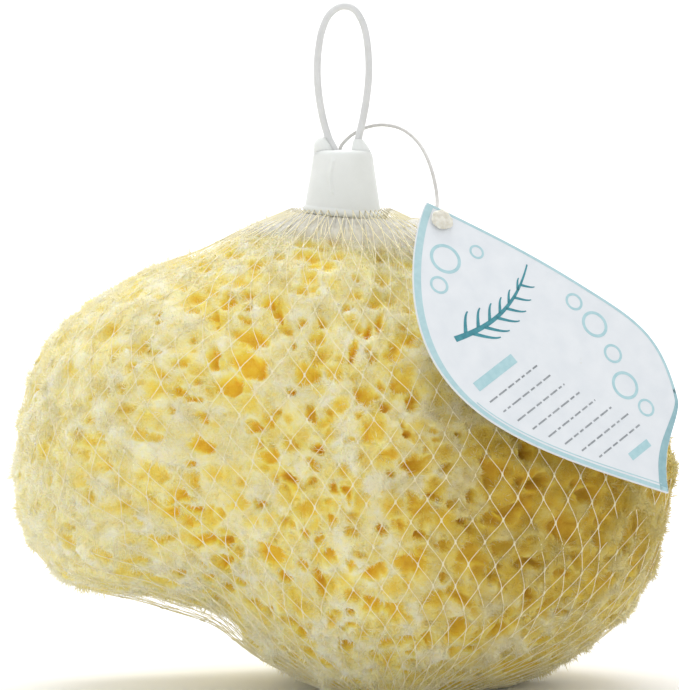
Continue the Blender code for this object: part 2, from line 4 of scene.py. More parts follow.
import bpy
import numpy as np
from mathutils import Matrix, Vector

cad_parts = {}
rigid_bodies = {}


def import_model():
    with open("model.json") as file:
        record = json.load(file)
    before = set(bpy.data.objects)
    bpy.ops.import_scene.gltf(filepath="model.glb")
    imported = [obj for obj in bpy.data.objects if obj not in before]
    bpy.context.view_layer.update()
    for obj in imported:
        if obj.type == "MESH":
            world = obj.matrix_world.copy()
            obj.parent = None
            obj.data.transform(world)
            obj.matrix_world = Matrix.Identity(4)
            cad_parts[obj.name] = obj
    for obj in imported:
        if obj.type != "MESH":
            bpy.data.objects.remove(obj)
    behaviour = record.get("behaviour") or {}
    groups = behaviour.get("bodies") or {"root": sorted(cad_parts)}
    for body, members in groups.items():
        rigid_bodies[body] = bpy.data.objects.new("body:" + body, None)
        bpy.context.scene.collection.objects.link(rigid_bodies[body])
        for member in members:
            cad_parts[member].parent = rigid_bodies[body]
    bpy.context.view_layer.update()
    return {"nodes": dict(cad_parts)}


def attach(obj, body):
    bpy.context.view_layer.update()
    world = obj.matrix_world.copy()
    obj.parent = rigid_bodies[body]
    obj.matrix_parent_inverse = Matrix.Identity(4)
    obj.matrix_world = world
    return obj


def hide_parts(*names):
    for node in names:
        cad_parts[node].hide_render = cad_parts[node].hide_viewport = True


# A natural bath sponge in its net bag, with a cap, a hanging loop and a swing tag.
# Metres, +Z up, the front looks along -Y. The part's places are moved by middleShift.

for leftOver in list(bpy.data.objects):
    bpy.data.objects.remove(leftOver)
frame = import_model()
middleShift = np.array((0.0, 0.0021, 0.0))
scene = bpy.context.scene
print("frame loaded:", sorted(frame["nodes"]))


# small tools that every piece uses

def unit(vectors):
    # each vector over its own length
    return vectors / np.maximum(np.linalg.norm(vectors, axis=-1, keepdims=True), 1e-12)


def easeBetween(low, high, value):
    # 0 below low, 1 above high, and a soft S between them
    share = np.clip((value - low) / (high - low), 0, 1)
    return share * share * (3 - 2 * share)


def smoothRun(route, count):
    # Catmull-Rom curve through the route, cut into steps of equal length
    route = np.array(route, float)
    ends = np.vstack([2 * route[0] - route[1], route, 2 * route[-1] - route[-2]])
    share = np.linspace(0, 1, 20, endpoint=False)[:, None]
    runs = []
    for a, b, c, d in zip(ends, ends[1:], ends[2:], ends[3:]):
        bend = 2 * a - 5 * b + 4 * c - d
        twist = 3 * (b - c) + d - a
        runs.append(b + 0.5 * share * (c - a + share * (bend + share * twist)))
    fine = np.vstack([*runs, route[-1:]])
    walked = np.concatenate([[0], np.cumsum(np.linalg.norm(np.diff(fine, axis=0), axis=1))])
    stops = np.linspace(0, walked[-1], count)
    return np.stack([np.interp(stops, walked, axis) for axis in fine.T], axis=1)


def grainNoise(points, cell, seed):
    # random values at the corners of a cubic lattice, melted together inside each cube
    place = points / cell + 31.7 * seed
    corner = np.floor(place).astype(np.int64)
    share = place - corner
    share = share * share * (3 - 2 * share)
    total = np.zeros(points.shape[:-1])
    for step in range(8):
        side = np.array((step & 1, step >> 1 & 1, step >> 2 & 1))
        x, y, z = np.moveaxis(corner + side, -1, 0)
        mixed = (x * 73856093) ^ (y * 19349663) ^ (z * 83492791) ^ (seed * 2654435761)
        mixed = ((mixed ^ (mixed >> 13)) * 1274126177) & 0xFFFFFFF
        mixed = ((mixed ^ (mixed >> 11)) * 668265263) & 0xFFFFFF
        weight = np.where(side, share, 1 - share).prod(axis=-1)
        total += weight * (mixed / 0x7FFFFF - 1)
    return total


def evenDirections(count):
    # unit vectors along a spiral that covers the sphere evenly
    step = np.arange(count) + 0.5
    height = 1 - 2 * step / count
    angle = math.pi * (1 + math.sqrt(5)) * step
    ring = np.sqrt(1 - height**2)
    return np.stack([ring * np.cos(angle), ring * np.sin(angle), height], axis=1)


def signedVolume(points, loops, sizes):
    # the sum over all faces of corner . (corner x corner) / 6, negative when they face inward
    starts = np.concatenate([[0], np.cumsum(sizes)[:-1]])
    total = 0.0
    for step in range(1, int(sizes.max()) - 1):
        some = starts[sizes > step + 1]
        a, b, c = (points[loops[some + shift]] for shift in (0, step, step + 1))
        total += np.einsum("ij,ij->", a, np.cross(b, c))
    return total / 6


def newPiece(name, points, groups, cadNodes=(), slot=None, smooth=True):
    # a piece from its corners and its groups of faces, each an array of corner numbers by rows;
    # where the faces look inward they are all turned
    points = np.reshape(points, (-1, 3))
    loops = np.concatenate([np.ravel(group) for group in groups])
    sizes = np.concatenate([np.full(len(group), np.shape(group)[1]) for group in groups])
    mesh = bpy.data.meshes.new(name)
    mesh.vertices.add(len(points))
    mesh.vertices.foreach_set("co", np.asarray(points, np.float32).ravel())
    mesh.loops.add(len(loops))
    mesh.loops.foreach_set("vertex_index", np.asarray(loops, np.int32))
    mesh.polygons.add(len(sizes))
    starts = np.concatenate([[0], np.cumsum(sizes)[:-1]])
    mesh.polygons.foreach_set("loop_start", np.asarray(starts, np.int32))
    mesh.polygons.foreach_set("use_smooth", np.full(len(sizes), smooth))
    mesh.update(calc_edges=True)
    if signedVolume(points, loops, sizes) < 0:
        mesh.flip_normals()
    piece = bpy.data.objects.new(name, mesh)
    scene.collection.objects.link(piece)
    if cadNodes:
        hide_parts(*cadNodes)
    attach(piece, "root")
    return piece


def gridFaces(number):
    # the four-cornered faces between neighbours in a grid of corner numbers
    corners = (number[..., :-1, :-1], number[..., 1:, :-1], number[..., 1:, 1:], number[..., :-1, 1:])
    return np.stack(corners, axis=-1).reshape(-1, 4)


def ringFaces(number):
    # the same for rows that each close on themselves, wound the other way
    closed = np.concatenate([number, number[..., :1]], axis=-1)
    return gridFaces(closed)[:, [0, 3, 2, 1]]


def ringAround(side, rise, count, start=0.0):
    # the unit circle in the plane of two directions, evenly cut, from this share of a step
    turn = 2 * math.pi * (np.arange(count) + start) / count
    return np.cos(turn)[:, None] * side[..., None, :] + np.sin(turn)[:, None] * rise[..., None, :]


def cones(name, roots, tips, width, **more):
    # straight three-sided hairs: a small triangle at the root and one point at the tip
    ahead = unit(tips - roots)
    side = unit(np.cross(ahead, np.roll(ahead, 1, axis=1) + np.array((0.31, 0.17, 0.05))))
    foot = roots[:, None] + 0.5 * width[:, None, None] * ringAround(side, np.cross(side, ahead), 3)
    base = 4 * np.arange(len(roots))[:, None, None]
    walls = (base + np.array([[0, 1, 3], [1, 2, 3], [2, 0, 3], [2, 1, 0]])).reshape(-1, 3)
    return newPiece(name, np.concatenate([foot, tips[:, None]], axis=1), [walls], smooth=False, **more)


def giveValues(piece, **labels):
    # one number for each corner of the piece, read by its material
    for label, values in labels.items():
        made = piece.data.attributes.new(label, "FLOAT", "POINT")
        made.data.foreach_set("value", np.asarray(values, np.float32).ravel())


def tubes(name, paths, radius, sides=4, outward=None, **more):
    # paths is runs x stations x 3; a ring of corners stands square to the run at each station
    runs, stations = paths.shape[:2]
    ahead = unit(np.gradient(paths, axis=1))
    outward = unit(paths - heart) if outward is None else np.broadcast_to(outward, paths.shape)
    side = unit(np.cross(ahead, outward))
    radius = np.broadcast_to(np.asarray(radius, float), (runs, stations))[..., None, None]
    ring = paths[:, :, None] + radius * ringAround(side, np.cross(side, ahead), sides, 0.5)
    number = np.arange(runs * stations * sides).reshape(runs, stations, sides)
    return newPiece(name, ring, [ringFaces(number), number[:, 0, ::-1], number[:, -1]], **more)


def spindles(name, places, alongs, outs, halfLength, radius, **more):
    # each is a five-sided bead with two pointed ends, lying along its own direction
    side = unit(np.cross(alongs, outs))
    around = radius * ringAround(side, np.cross(side, alongs), 5)
    waist = 0.5 * halfLength * alongs[:, None]
    tips = places[:, None] + halfLength * np.stack([-alongs, alongs], axis=1)
    near, far = places[:, None] - waist + around, places[:, None] + waist + around
    points = np.concatenate([near, far, tips], axis=1)
    base = 12 * np.arange(len(places))[:, None, None]
    step = np.arange(5)
    after = (step + 1) % 5
    walls = (base + np.stack([step, after, after + 5, step + 5], axis=1)).reshape(-1, 4)
    heads = (base + np.stack([after, step, np.full(5, 10)], axis=1)).reshape(-1, 3)
    tails = (base + np.stack([step + 5, after + 5, np.full(5, 11)], axis=1)).reshape(-1, 3)
    return newPiece(name, points, [walls, heads, tails], **more)


def spikes(name, roots, aims, curls, length, width, **more):
    # three-sided thorns: a base, a waist that is bent over by the curl, and a tip
    side = unit(np.cross(aims, curls))
    length, width = length[:, None, None], width[:, None, None]
    around = width * ringAround(side, np.cross(side, aims), 3)
    foot = roots[:, None] + 0.5 * around
    waist = roots[:, None] + (0.55 * aims + 0.08 * curls)[:, None] * length + 0.32 * around
    tip = roots[:, None] + (0.95 * aims + 0.35 * curls)[:, None] * length
    base = 7 * np.arange(len(roots))[:, None, None]
    step = np.arange(3)
    after = (step + 1) % 3
    walls = (base + np.stack([step, after, after + 3, step + 3], axis=1)).reshape(-1, 4)
    heads = (base + np.stack([step + 3, after + 3, np.full(3, 6)], axis=1)).reshape(-1, 3)
    soles = (base + np.array([[2, 1, 0]])).reshape(-1, 3)
    points = np.concatenate([foot, waist, tip], axis=1)
    return newPiece(name, points, [walls, heads, soles], smooth=False, **more)


# the camera comes first

view = {
    "elevation": 4.0,          # degrees above level
    "distance": 1.6,
    "target": (-0.0004, 0.0021, 0.0913),
    "frame height": 0.1849,    # metres that the frame takes in at the target
    "frame": (679, 690),
    "search": (1.45, 0.15, 120),  # where along its rays the sponge is sought, and in how many steps
}


def makeCamera():
    # back from the target along the view, its height of field set by the lens
    lens = bpy.data.cameras.new("camera")
    made = bpy.data.objects.new("camera", lens)
    scene.collection.objects.link(made)
    tilt = math.radians(view["elevation"])
    ahead = Vector((0, math.cos(tilt), -math.sin(tilt)))
    made.location = Vector(view["target"]) - ahead * view["distance"]
    made.rotation_euler = (math.pi / 2 - tilt, 0, 0)
    lens.sensor_fit = "VERTICAL"
    lens.sensor_height = 36
    lens.lens = 36 * view["distance"] / view["frame height"]
    lens.clip_start, lens.clip_end = 0.01, 100
    scene.camera = made


makeCamera()

heart = np.array((0.0, 0.0, 0.058)) + middleShift


# the swing tag's own axes, which its string needs too

card = {
    "middle": (0.0549, -0.0409, 0.0945),
    "facing": 31.0,            # degrees turned from the front to the right
    "tilt": 29.0,
    "roll": 60.8,
    "length": 0.099,
    "left width": 0.0351,
    "left fullness": 0.81,
    "right width": 0.0251,
    "right fullness": 0.65,
    "bend radius": 0.5,
    "thickness": 0.0005,
    "hole": (-0.0441, -0.0006),
    "hole radius": 0.0021,
    "drawn in": (0.55, 0.22),  # how much of the right width is lost before and at the low tip
    "bulge": (0.105, 0.64, 0.16),  # of the right edge: how much, where and how far along
}


def cardAxes():
    # its directions along, across and out: faced and tilted by two turns, then rolled in its plane
    facing, tilt, roll = (math.radians(card[key]) for key in ("facing", "tilt", "roll"))
    out = np.array((
        math.sin(facing) * math.cos(tilt), -math.cos(facing) * math.cos(tilt), math.sin(tilt),
    ))
    level = np.array((math.cos(facing), math.sin(facing), 0.0))
    rise = np.cross(out, level)
    along = level * math.cos(roll) - rise * math.sin(roll)
    across = level * math.sin(roll) + rise * math.cos(roll)
    return np.stack([along, across, out])


def onCard(along, across, out=0.0):
    # the flat card is rolled round a wide cylinder whose axis runs across it
    along, across, out = np.broadcast_arrays(along, across, out)
    angle = along / card["bend radius"]
    radius = card["bend radius"] + out
    local = np.stack(
        [radius * np.sin(angle), across, radius * np.cos(angle) - card["bend radius"]], axis=-1
    )
    normal = np.stack([np.sin(angle), np.zeros(angle.shape), np.cos(angle)], axis=-1)
    axes = cardAxes()
    return local @ axes + np.array(card["middle"]) + middleShift, normal @ axes


# the cord: the tag's string, out of the cap, behind the loop and into the card's hole

string = {
    "radius": 0.00048,
    "points": 90,
    "route": (
        (-0.0004, 0.0020, 0.1404), (-0.0002, 0.0020, 0.1440), (0.0016, 0.0024, 0.1464),
        (0.0042, 0.0025, 0.1483), (0.0074, 0.0018, 0.1497), (0.0112, -0.0005, 0.1503),
        (0.0155, -0.0042, 0.1496), (0.0191, -0.0090, 0.1474), (0.0216, -0.0140, 0.1444),
        (0.0234, -0.0186, 0.1406), (0.0246, -0.0222, 0.1364),
        (0.0253, -0.0259, 0.1315),
    ),
    "lead": 0.0020,            # straight run into the card's hole
    "knot": (0.0029, 0.0030, 0.0008),
    "knot swell": ((0.20, 0.70), (0.08, 0.30)),  # height and cell of its grain
    "knot lift": 0.00130,      # its middle stands this far off the card's middle
    "knot shift": (0.0003, 0.0, -0.0007),  # leaves a crescent of the hole open
}


def makeString():
    # a tube on the route, then straight along the card's facing into its hole
    hole, facing = onCard(*card["hole"])
    route = np.array(string["route"]) + middleShift
    lead = [hole - facing * back for back in (string["lead"], string["lead"] / 2, 0.0)]
    path = smoothRun(np.vstack([route, lead]), string["points"])
    piece = tubes(
        "tag_string_strand", path[None], string["radius"], 10, np.array((0.3, -1.0, 0.2)),
        cadNodes=("tag_string",), slot="string",
    )
    length = np.linalg.norm(np.diff(path, axis=0), axis=1).sum()
    print(f"string: {length:.4f} m")
    return piece, path, length


def makeKnot():
    # a ball on two angles, swollen by two sizes of grain and flattened on the card
    hole, facing = onCard(*card["hole"])
    turns, rings = 48, 25
    down = math.pi * (np.arange(rings)[:, None] + 0.5) / rings
    level, up = np.array((1.0, 0, 0)), np.array((0, 1.0, 0))
    way = np.sin(down)[..., None] * ringAround(level, up, turns)
    way[..., 2] = np.cos(down)
    swell = 1 + sum(
        height * grainNoise(way, cell, seed) for seed, (height, cell) in enumerate(string["knot swell"], 5)
    )
    middle = hole + facing * string["knot lift"] + np.array(string["knot shift"])
    points = (way * np.array(string["knot"]) * swell[..., None]) @ cardAxes() + middle
    number = np.arange(rings * turns).reshape(rings, turns)
    faces = [ringFaces(number), number[:1, ::-1], number[-1:]]
    return newPiece("tag_knot", points, faces, ("string_knot",), "knot")


stringPiece, stringPath, stringLength = makeString()
knotPiece = makeKnot()


# the sponge: melted lobes, then lumps, dishes, holes, pores and crumbs

sponge = {
    "lobes": (
        ((0.026, 0.000, 0.057), (0.0615, 0.0560, 0.0595)),
        ((-0.0315, -0.004, 0.0685), (0.0540, 0.0450, 0.0460)),
        ((-0.008, 0.000, 0.074), (0.0500, 0.0430, 0.0490)),
        ((0.012, -0.014, 0.041), (0.0460, 0.0400, 0.0420)),
        ((0.002, 0.014, 0.034), (0.0280, 0.0340, 0.0365)),
        ((0.008, 0.022, 0.064), (0.0540, 0.0330, 0.0420)),
        ((-0.0592, -0.006, 0.051), (0.0270, 0.0320, 0.0250)),
        ((0.050, 0.000, 0.038), (0.0310, 0.0360, 0.0300)),
        ((0.002, 0.000, 0.0985), (0.0270, 0.0240, 0.0245)),
    ),
    "blend": 18.0,
    "dimple": (0.0004, 0.012),  # depth and width, under the cap
    "lumps": (110, 0.0022, 0.16),  # count, height, width in radians
    "base": 0.0004,            # the flat underside rests on the net's threads
    "grid": 128,               # cells along each side of the six grids
    "finer in front": 0.38,
    "crumbs": ((0.0058, 0.00085), (0.0029, 0.00065), (0.0014, 0.00026)),  # cell and height
    "streaks": (0.0020, 0.00065),  # upright ridges on the two ends
    "clumps": (0.0062, 0.0014),  # wider lumps, most of all on the two ends
    "front depth": 0.00040,    # of a hole seen in front, for each unit in its row
    "shallow left": (0.40, -0.030, -0.065),  # share of depth lost, from and to this far left
    "least shown": 0.72,       # a hole is never stretched more than this to undo its slant
    "side holes": (420, 0.0014, 0.0036),  # count and half-widths
    "widest chance hole in front": 0.0022,
    "dishes": (1150, 0.0016, 0.0042, 0.0016, 0.3, 1.0),  # then depth and its shares
    "pores": (700, 0.0007, 0.0013, None, 0.4, 0.9),  # as deep as these shares of their half-width
    "rims": ((0.34, 0.11), (0.0, 0.06), (0.20, 0.08)),  # inner ring and waviness of each kind
    "warp": (0.018, (0.0045, 1.0, 20), (0.0018, 0.45, 30)),  # how far; cell, share and seed
}

# holes seen from the front: pixel across and down, half-width, half-height, turn, depth in units
frontHoles = (
    (214, 355, 7, 12, 20, 8), (226, 383, 9, 13, -30, 8), (249, 336, 14, 11, 0, 8),
    (248, 364, 14, 15, 0, 9), (214, 311, 5, 6, 0, 5), (226, 299, 7, 7, 0, 6),
    (246, 294, 6, 6, 0, 6), (268, 301, 8, 7, 0, 8), (277, 310, 5, 8, 20, 8),
    (321, 317, 5, 6, 0, 6), (367, 333, 6, 9, -30, 8), (381, 321, 6, 11, -15, 6),
    (351, 353, 5, 9, 0, 7), (307, 373, 13, 11, 0, 6), (335, 373, 11, 11, 0, 3.5),
    (364, 397, 12, 10, -40, 7), (385, 410, 7, 8, 0, 7), (402, 384, 13, 11, 0, 5),
    (314, 415, 6, 10, 30, 7), (254, 426, 9, 7, 0, 7), (203, 445, 9, 8, 0, 7),
    (270, 455, 10, 11, 30, 6), (287, 478, 11, 8, 0, 9), (319, 450, 7, 7, 0, 7),
    (374, 431, 14, 11, 30, 3), (406, 435, 6, 8, 0, 8), (390, 453, 9, 9, 0, 5),
    (419, 464, 15, 14, 0, 9), (265, 504, 7, 7, 0, 7), (334, 487, 8, 7, 0, 6),
    (347, 494, 6, 8, 0, 7), (240, 502, 12, 10, 0, 3.5), (305, 509, 14, 12, 0, 3.5),
    (272, 553, 16, 12, -20, 7), (285, 577, 9, 8, 0, 8), (303, 563, 7, 7, 0, 5),
    (321, 583, 9, 15, 15, 8), (332, 553, 8, 7, 0, 7), (376, 572, 14, 10, 0, 8),
    (413, 566, 16, 13, 0, 8), (420, 507, 13, 12, 0, 5), (435, 497, 6, 6, 0, 6),
    (463, 522, 6, 7, 0, 8), (422, 536, 8, 7, 0, 7), (372, 607, 13, 10, -25, 7),
    (396, 612, 13, 10, 0, 6), (472, 555, 14, 12, 0, 6), (464, 600, 14, 9, 0, 6),
    (457, 627, 12, 10, 20, 8), (494, 629, 10, 8, 0, 8), (472, 649, 7, 6, 0, 7),
    (347, 648, 8, 7, 0, 6), (405, 639, 8, 7, 0, 5), (427, 640, 9, 8, 0, 6),
    (490, 474, 9, 18, 10, 7), (525, 453, 9, 9, 0, 9), (541, 483, 10, 8, 0, 9),
    (513, 511, 14, 9, 0, 8), (531, 563, 10, 8, 0, 8), (566, 529, 13, 20, 0, 7),
    (589, 492, 11, 9, 0, 8), (538, 640, 11, 8, 0, 8), (544, 605, 6, 7, 0, 6),
    (627, 576, 5, 6, 0, 5), (611, 603, 6, 5, 0, 5), (587, 602, 6, 5, 0, 6),
    (492, 579, 7, 6, 0, 6), (528, 594, 7, 7, 0, 6), (439, 600, 10, 9, 0, 4),
    (91, 424, 5, 5, 0, 5), (102, 433, 4, 5, 0, 5), (55, 478, 4, 9, 10, 5),
    (59, 461, 4, 4, 0, 4), (80, 485, 5, 7, 0, 4), (91, 496, 5, 5, 0, 5),
    (105, 552, 5, 9, -40, 6), (120, 570, 5, 9, -50, 6), (137, 559, 8, 6, -20, 4),
    (155, 435, 6, 6, 0, 5), (139, 433, 7, 6, 0, 4), (198, 402, 5, 4, 0, 4),
    (157, 472, 13, 10, 0, 4), (177, 497, 11, 9, 0, 8), (192, 508, 7, 5, 0, 8),
    (128, 511, 12, 10, 0, 3), (168, 511, 8, 8, 0, 7), (190, 522, 9, 7, 0, 4),
    (205, 540, 11, 8, 10, 8), (226, 541, 8, 6, 0, 8), (228, 562, 10, 9, 30, 8),
    (209, 576, 5, 5, 0, 6), (229, 587, 7, 6, 0, 7), (240, 581, 6, 5, 0, 7),
    (180, 571, 6, 5, 0, 6), (158, 353, 5, 4, 0, 4), (148, 348, 5, 5, 0, 4),
    (180, 393, 6, 6, 0, 6), (193, 401, 5, 4, 0, 6), (183, 287, 4, 4, 0, 4),
    (191, 308, 7, 5, 0, 4), (147, 384, 8, 4, 0, 3), (245, 318, 7, 5, 0, 4),
    (236, 330, 5, 5, 0, 5), (300, 290, 6, 6, 0, 3.5), (345, 470, 9, 9, 0, 3),
    (372, 362, 7, 6, 0, 5), (396, 352, 6, 9, -20, 5), (412, 402, 7, 10, 0, 6),
    (330, 520, 6, 5, 0, 5), (352, 530, 8, 7, 0, 4), (380, 530, 7, 6, 0, 5),
    (300, 632, 9, 7, 0, 5), (330, 621, 8, 7, 0, 4), (270, 612, 7, 6, 0, 4),
    (505, 545, 8, 9, 0, 5), (563, 575, 7, 7, 0, 5), (600, 540, 7, 9, 0, 6),
    (622, 540, 6, 9, 0, 6), (640, 530, 5, 8, 0, 5), (470, 497, 7, 7, 0, 6),
    (447, 470, 6, 6, 0, 5), (560, 610, 8, 7, 0, 6), (515, 655, 8, 5, 0, 5),
    (575, 560, 6, 6, 0, 6), (492, 520, 8, 7, 0, 5), (445, 545, 7, 7, 0, 5),
)


def lobeField(points):
    # each lobe's stretched distance, melted together by a soft least of them all
    total = np.zeros(points.shape[:-1])
    slope = np.zeros(points.shape)
    for centre, sizes in sponge["lobes"]:
        offset = (points - np.array(centre) - middleShift) / np.array(sizes)
        reach = np.sqrt((offset**2).sum(-1)) + 1e-12
        weight = np.exp(-sponge["blend"] * (reach - 1))
        total += weight
        slope += (weight / reach)[..., None] * offset / np.array(sizes)
    return -np.log(total) / sponge["blend"], slope / total[..., None]


def baseReach(directions):
    # halves the interval until the ray from the heart meets the lobes, then adds lumps
    near, far = np.full(len(directions), 0.010), np.full(len(directions), 0.140)
    for _ in range(26):
        middle = (near + far) / 2
        inside = lobeField(heart + directions * middle[:, None])[0] < 0
        near, far = np.where(inside, middle, near), np.where(inside, far, middle)
    count, height, width = sponge["lumps"]
    rng = np.random.default_rng(11)
    middles = unit(evenDirections(count) + rng.normal(0, 0.09, (count, 3)))
    heights = rng.uniform(-1, 1, count) * height
    lumps = np.exp(-2 * (1 - directions @ middles.T) / width**2) @ heights
    depth, wide = sponge["dimple"]
    offAxis = np.hypot(directions[:, 0], directions[:, 1]) * near
    atTop = (directions[:, 2] > 0) * np.exp(-((offAxis / wide) ** 2))
    return near + lumps * (1 - atTop) - depth * atTop


def rightShadeAndGold(places):
    # 0 on the left and above, 1 on the low right-hand side, where the sponge is more golden and painted
    # shade darkens it; weaker near the ground
    low = 0.45 + 0.55 * easeBetween(0.010, 0.045, places[:, 2])
    return low * easeBetween(0.000, 0.052, places[:, 0]) * easeBetween(0.112, 0.075, places[:, 2])


def seenFrom(across, down):
    # where the camera's ray through each pixel meets the lobes: the first stop inside them,
    # or else the nearest, then halved between it and the stop before
    wide, high = view["frame"]
    tilt = math.radians(view["elevation"])
    ahead = np.array((0, math.cos(tilt), -math.sin(tilt)))
    rise = np.array((0, math.sin(tilt), math.cos(tilt)))
    share = view["frame height"] / high / view["distance"]
    rays = ahead + ((across - wide / 2) * share)[:, None] * np.array((1.0, 0, 0))
    rays = rays - ((down - high / 2) * share)[:, None] * rise
    start = np.array(view["target"]) - ahead * view["distance"]
    begin, span, count = view["search"]
    stops = begin + span * np.arange(count) / count
    field = lobeField(start + rays[:, None] * stops[:, None])[0]
    first = np.where((field < 0).any(axis=1), np.argmax(field < 0, axis=1), field.argmin(axis=1))
    near, far = stops[np.maximum(first - 1, 0)], stops[first]
    for _ in range(16):
        middle = (near + far) / 2
        inside = lobeField(start + rays * middle[:, None])[0] < 0
        near, far = np.where(inside, near, middle), np.where(inside, middle, far)
    return start + rays * far[:, None], ahead


def turnedAxes(ways, turn):
    # two directions square to each way and to each other, turned by this angle
    side = unit(np.cross(np.array((0.0, 0, 1)), ways))
    rise = np.cross(ways, side)
    return side * np.cos(turn) + rise * np.sin(turn), rise * np.cos(turn) - side * np.sin(turn)


def ringRows(ways, wide, high, depth, rng):
    # hole rows about these directions, each turned by chance
    first, second = turnedAxes(ways, rng.uniform(0, math.pi, len(ways))[:, None])
    return np.hstack([ways, first, second, np.stack([wide, high, depth], axis=1)])


def sideHoles(takenWays, takenSizes, rng):
    # chance directions, each kept if its hole stays clear of every hole so far, of the ground
    # and of the cap, and isn't a wide one in front
    count, small, large = sponge["side holes"]
    tries = unit(rng.normal(0, 1, (9 * count, 3)))
    reach = baseReach(tries)
    radius = small + (large - small) * rng.random(len(tries)) ** 1.5
    made = []
    for way, distance, half in zip(tries, reach, radius):
        if len(made) == count:
            break
        tooWide = half > sponge["widest chance hole in front"] and way[1] < -0.25
        if tooWide or (heart + way * distance)[2] < 0.004 or way[2] > 0.94:
            continue
        apart = np.arccos(np.clip(takenWays @ way, -1, 1)) * distance
        if (apart > (half + takenSizes) * 1.05).all():
            made.append((*way, half))
            takenWays = np.vstack([takenWays, way])
            takenSizes = np.append(takenSizes, half)
    ways, half = np.split(np.array(made), [3], axis=1)
    half = half[:, 0]
    high = half * rng.uniform(0.7, 1.0, len(half))
    return ringRows(ways, half, high, half * rng.uniform(0.7, 1.3, len(half)), rng)


def strewn(rng, count, small, large, deep, least, most):
    # ovals in chance directions; their depth is a share of deep, or else of their half-width
    ways = unit(rng.normal(0, 1, (count, 3)))
    half = rng.uniform(small, large, count)
    high = half * rng.uniform(0.6, 1.0, count)
    return ringRows(ways, half, high, (deep or half) * rng.uniform(least, most, count), rng)


def holeList():
    # rows of direction, the directions of the two half-sizes, the half-sizes, and depth
    rng = np.random.default_rng(7)
    seen = np.array(frontHoles, float)
    places, ahead = seenFrom(seen[:, 0], seen[:, 1])
    pixel = view["frame height"] / view["frame"][1]
    ways = unit(places - heart)
    first, second = turnedAxes(ways, np.radians(seen[:, 4])[:, None])
    sizes = [
        half * pixel / np.maximum(np.sqrt(1 - (axis @ ahead) ** 2), sponge["least shown"])
        for axis, half in ((first, seen[:, 2]), (second, seen[:, 3]))
    ]
    lost, start, stop = sponge["shallow left"]
    depth = seen[:, 5] * sponge["front depth"] * (1 - lost * easeBetween(start, stop, places[:, 0]))
    front = np.hstack([ways, first, second, np.stack([*sizes, depth], axis=1)])
    sides = sideHoles(ways, np.maximum(*sizes), rng)
    dishes = strewn(rng, *sponge["dishes"])
    return np.vstack([front, sides]), dishes, strewn(rng, *sponge["pores"])


def carved(directions, reach, rows, steep, wobble):
    # for each hole, an oval whose rim wanders, deep inside and rising to nothing at its rim
    depth = np.zeros(len(directions))
    for number, row in enumerate(rows):
        way, first, second = row[:3], row[3:6], row[6:9]
        wide, high, deep = row[9:]
        limit = math.cos(min(1.9 * max(wide, high) / 0.045, 1.2))
        near = np.flatnonzero(directions @ way > limit)
        local = directions[near] * reach[near, None]
        across, up = local @ first / wide, local @ second / high
        angle = np.arctan2(up, across)
        rim = 1 + wobble * (
            np.sin(2 * angle + number) + 0.7 * np.sin(3 * angle + 2.1 * number)
            + 0.6 * np.sin(5 * angle + 3.7 * number) + 0.4 * np.sin(8 * angle + 5.3 * number)
        )
        ring = np.hypot(across, up) / rim
        fall = 1 - easeBetween(steep, 1.08, ring)
        depth[near] = np.maximum(depth[near], deep * fall)
    return depth


holes, dishes, pores = holeList()
print("holes:", len(holes), "dishes:", len(dishes), "pores:", len(pores))


def spongeSkin(directions):
    # the distance out, how deep below the outer skin, and the tone from pale 0 to deep 1:
    # holes, dishes and pores are taken off the lobes, then crumbs, streaks and clumps put on
    reach = baseReach(directions)
    place = heart + directions * reach[:, None]
    far, *layers = sponge["warp"]
    warp = sum(
        share * np.stack([grainNoise(place, cell, seed + axis) for axis in range(3)], axis=1)
        for cell, share, seed in layers
    )
    bent = unit(directions + warp * far)
    deep, dish, pore = (
        carved(bent, reach, rows, *rim) for rows, rim in zip((holes, dishes, pores), sponge["rims"])
    )
    crumb = sum(
        height * grainNoise(place, cell, 1 + number)
        for number, (cell, height) in enumerate(sponge["crumbs"])
    )
    ends = easeBetween(0.045, 0.080, np.abs(place[:, 0]))
    cell, height = sponge["streaks"]
    crumb += ends * height * grainNoise(place * np.array((1.0, 1.0, 0.22)), cell, 9)
    cell, height = sponge["clumps"]
    crumb += (0.3 + 0.7 * ends) * height * grainNoise(place, cell, 8)
    depth = np.maximum(deep, 0.6 * pore + dish) + 0.25 * dish
    crest = easeBetween(-0.0006, 0.0008, crumb)
    crumb = crumb * (1 - 0.5 * easeBetween(0.001, 0.004, depth))
    reach = reach - depth + crumb + 0.0004
    ground = (heart[2] - sponge["base"]) / np.maximum(-directions[:, 2], 1e-6)
    reach = np.where(directions[:, 2] < 0, np.minimum(reach, ground), reach)
    tone = 1 - np.exp(-np.maximum(depth - 0.0001, 0) / 0.0015)
    # the low right side is made more golden by the same mask that carries painted shade there
    tone = tone + (1 - tone) * (1 - crest) * (0.20 + 0.40 * rightShadeAndGold(place))
    tone = tone * (1 - 0.22 * easeBetween(-0.035, -0.070, place[:, 0]))
    return reach, depth, np.clip(tone, 0, 1)


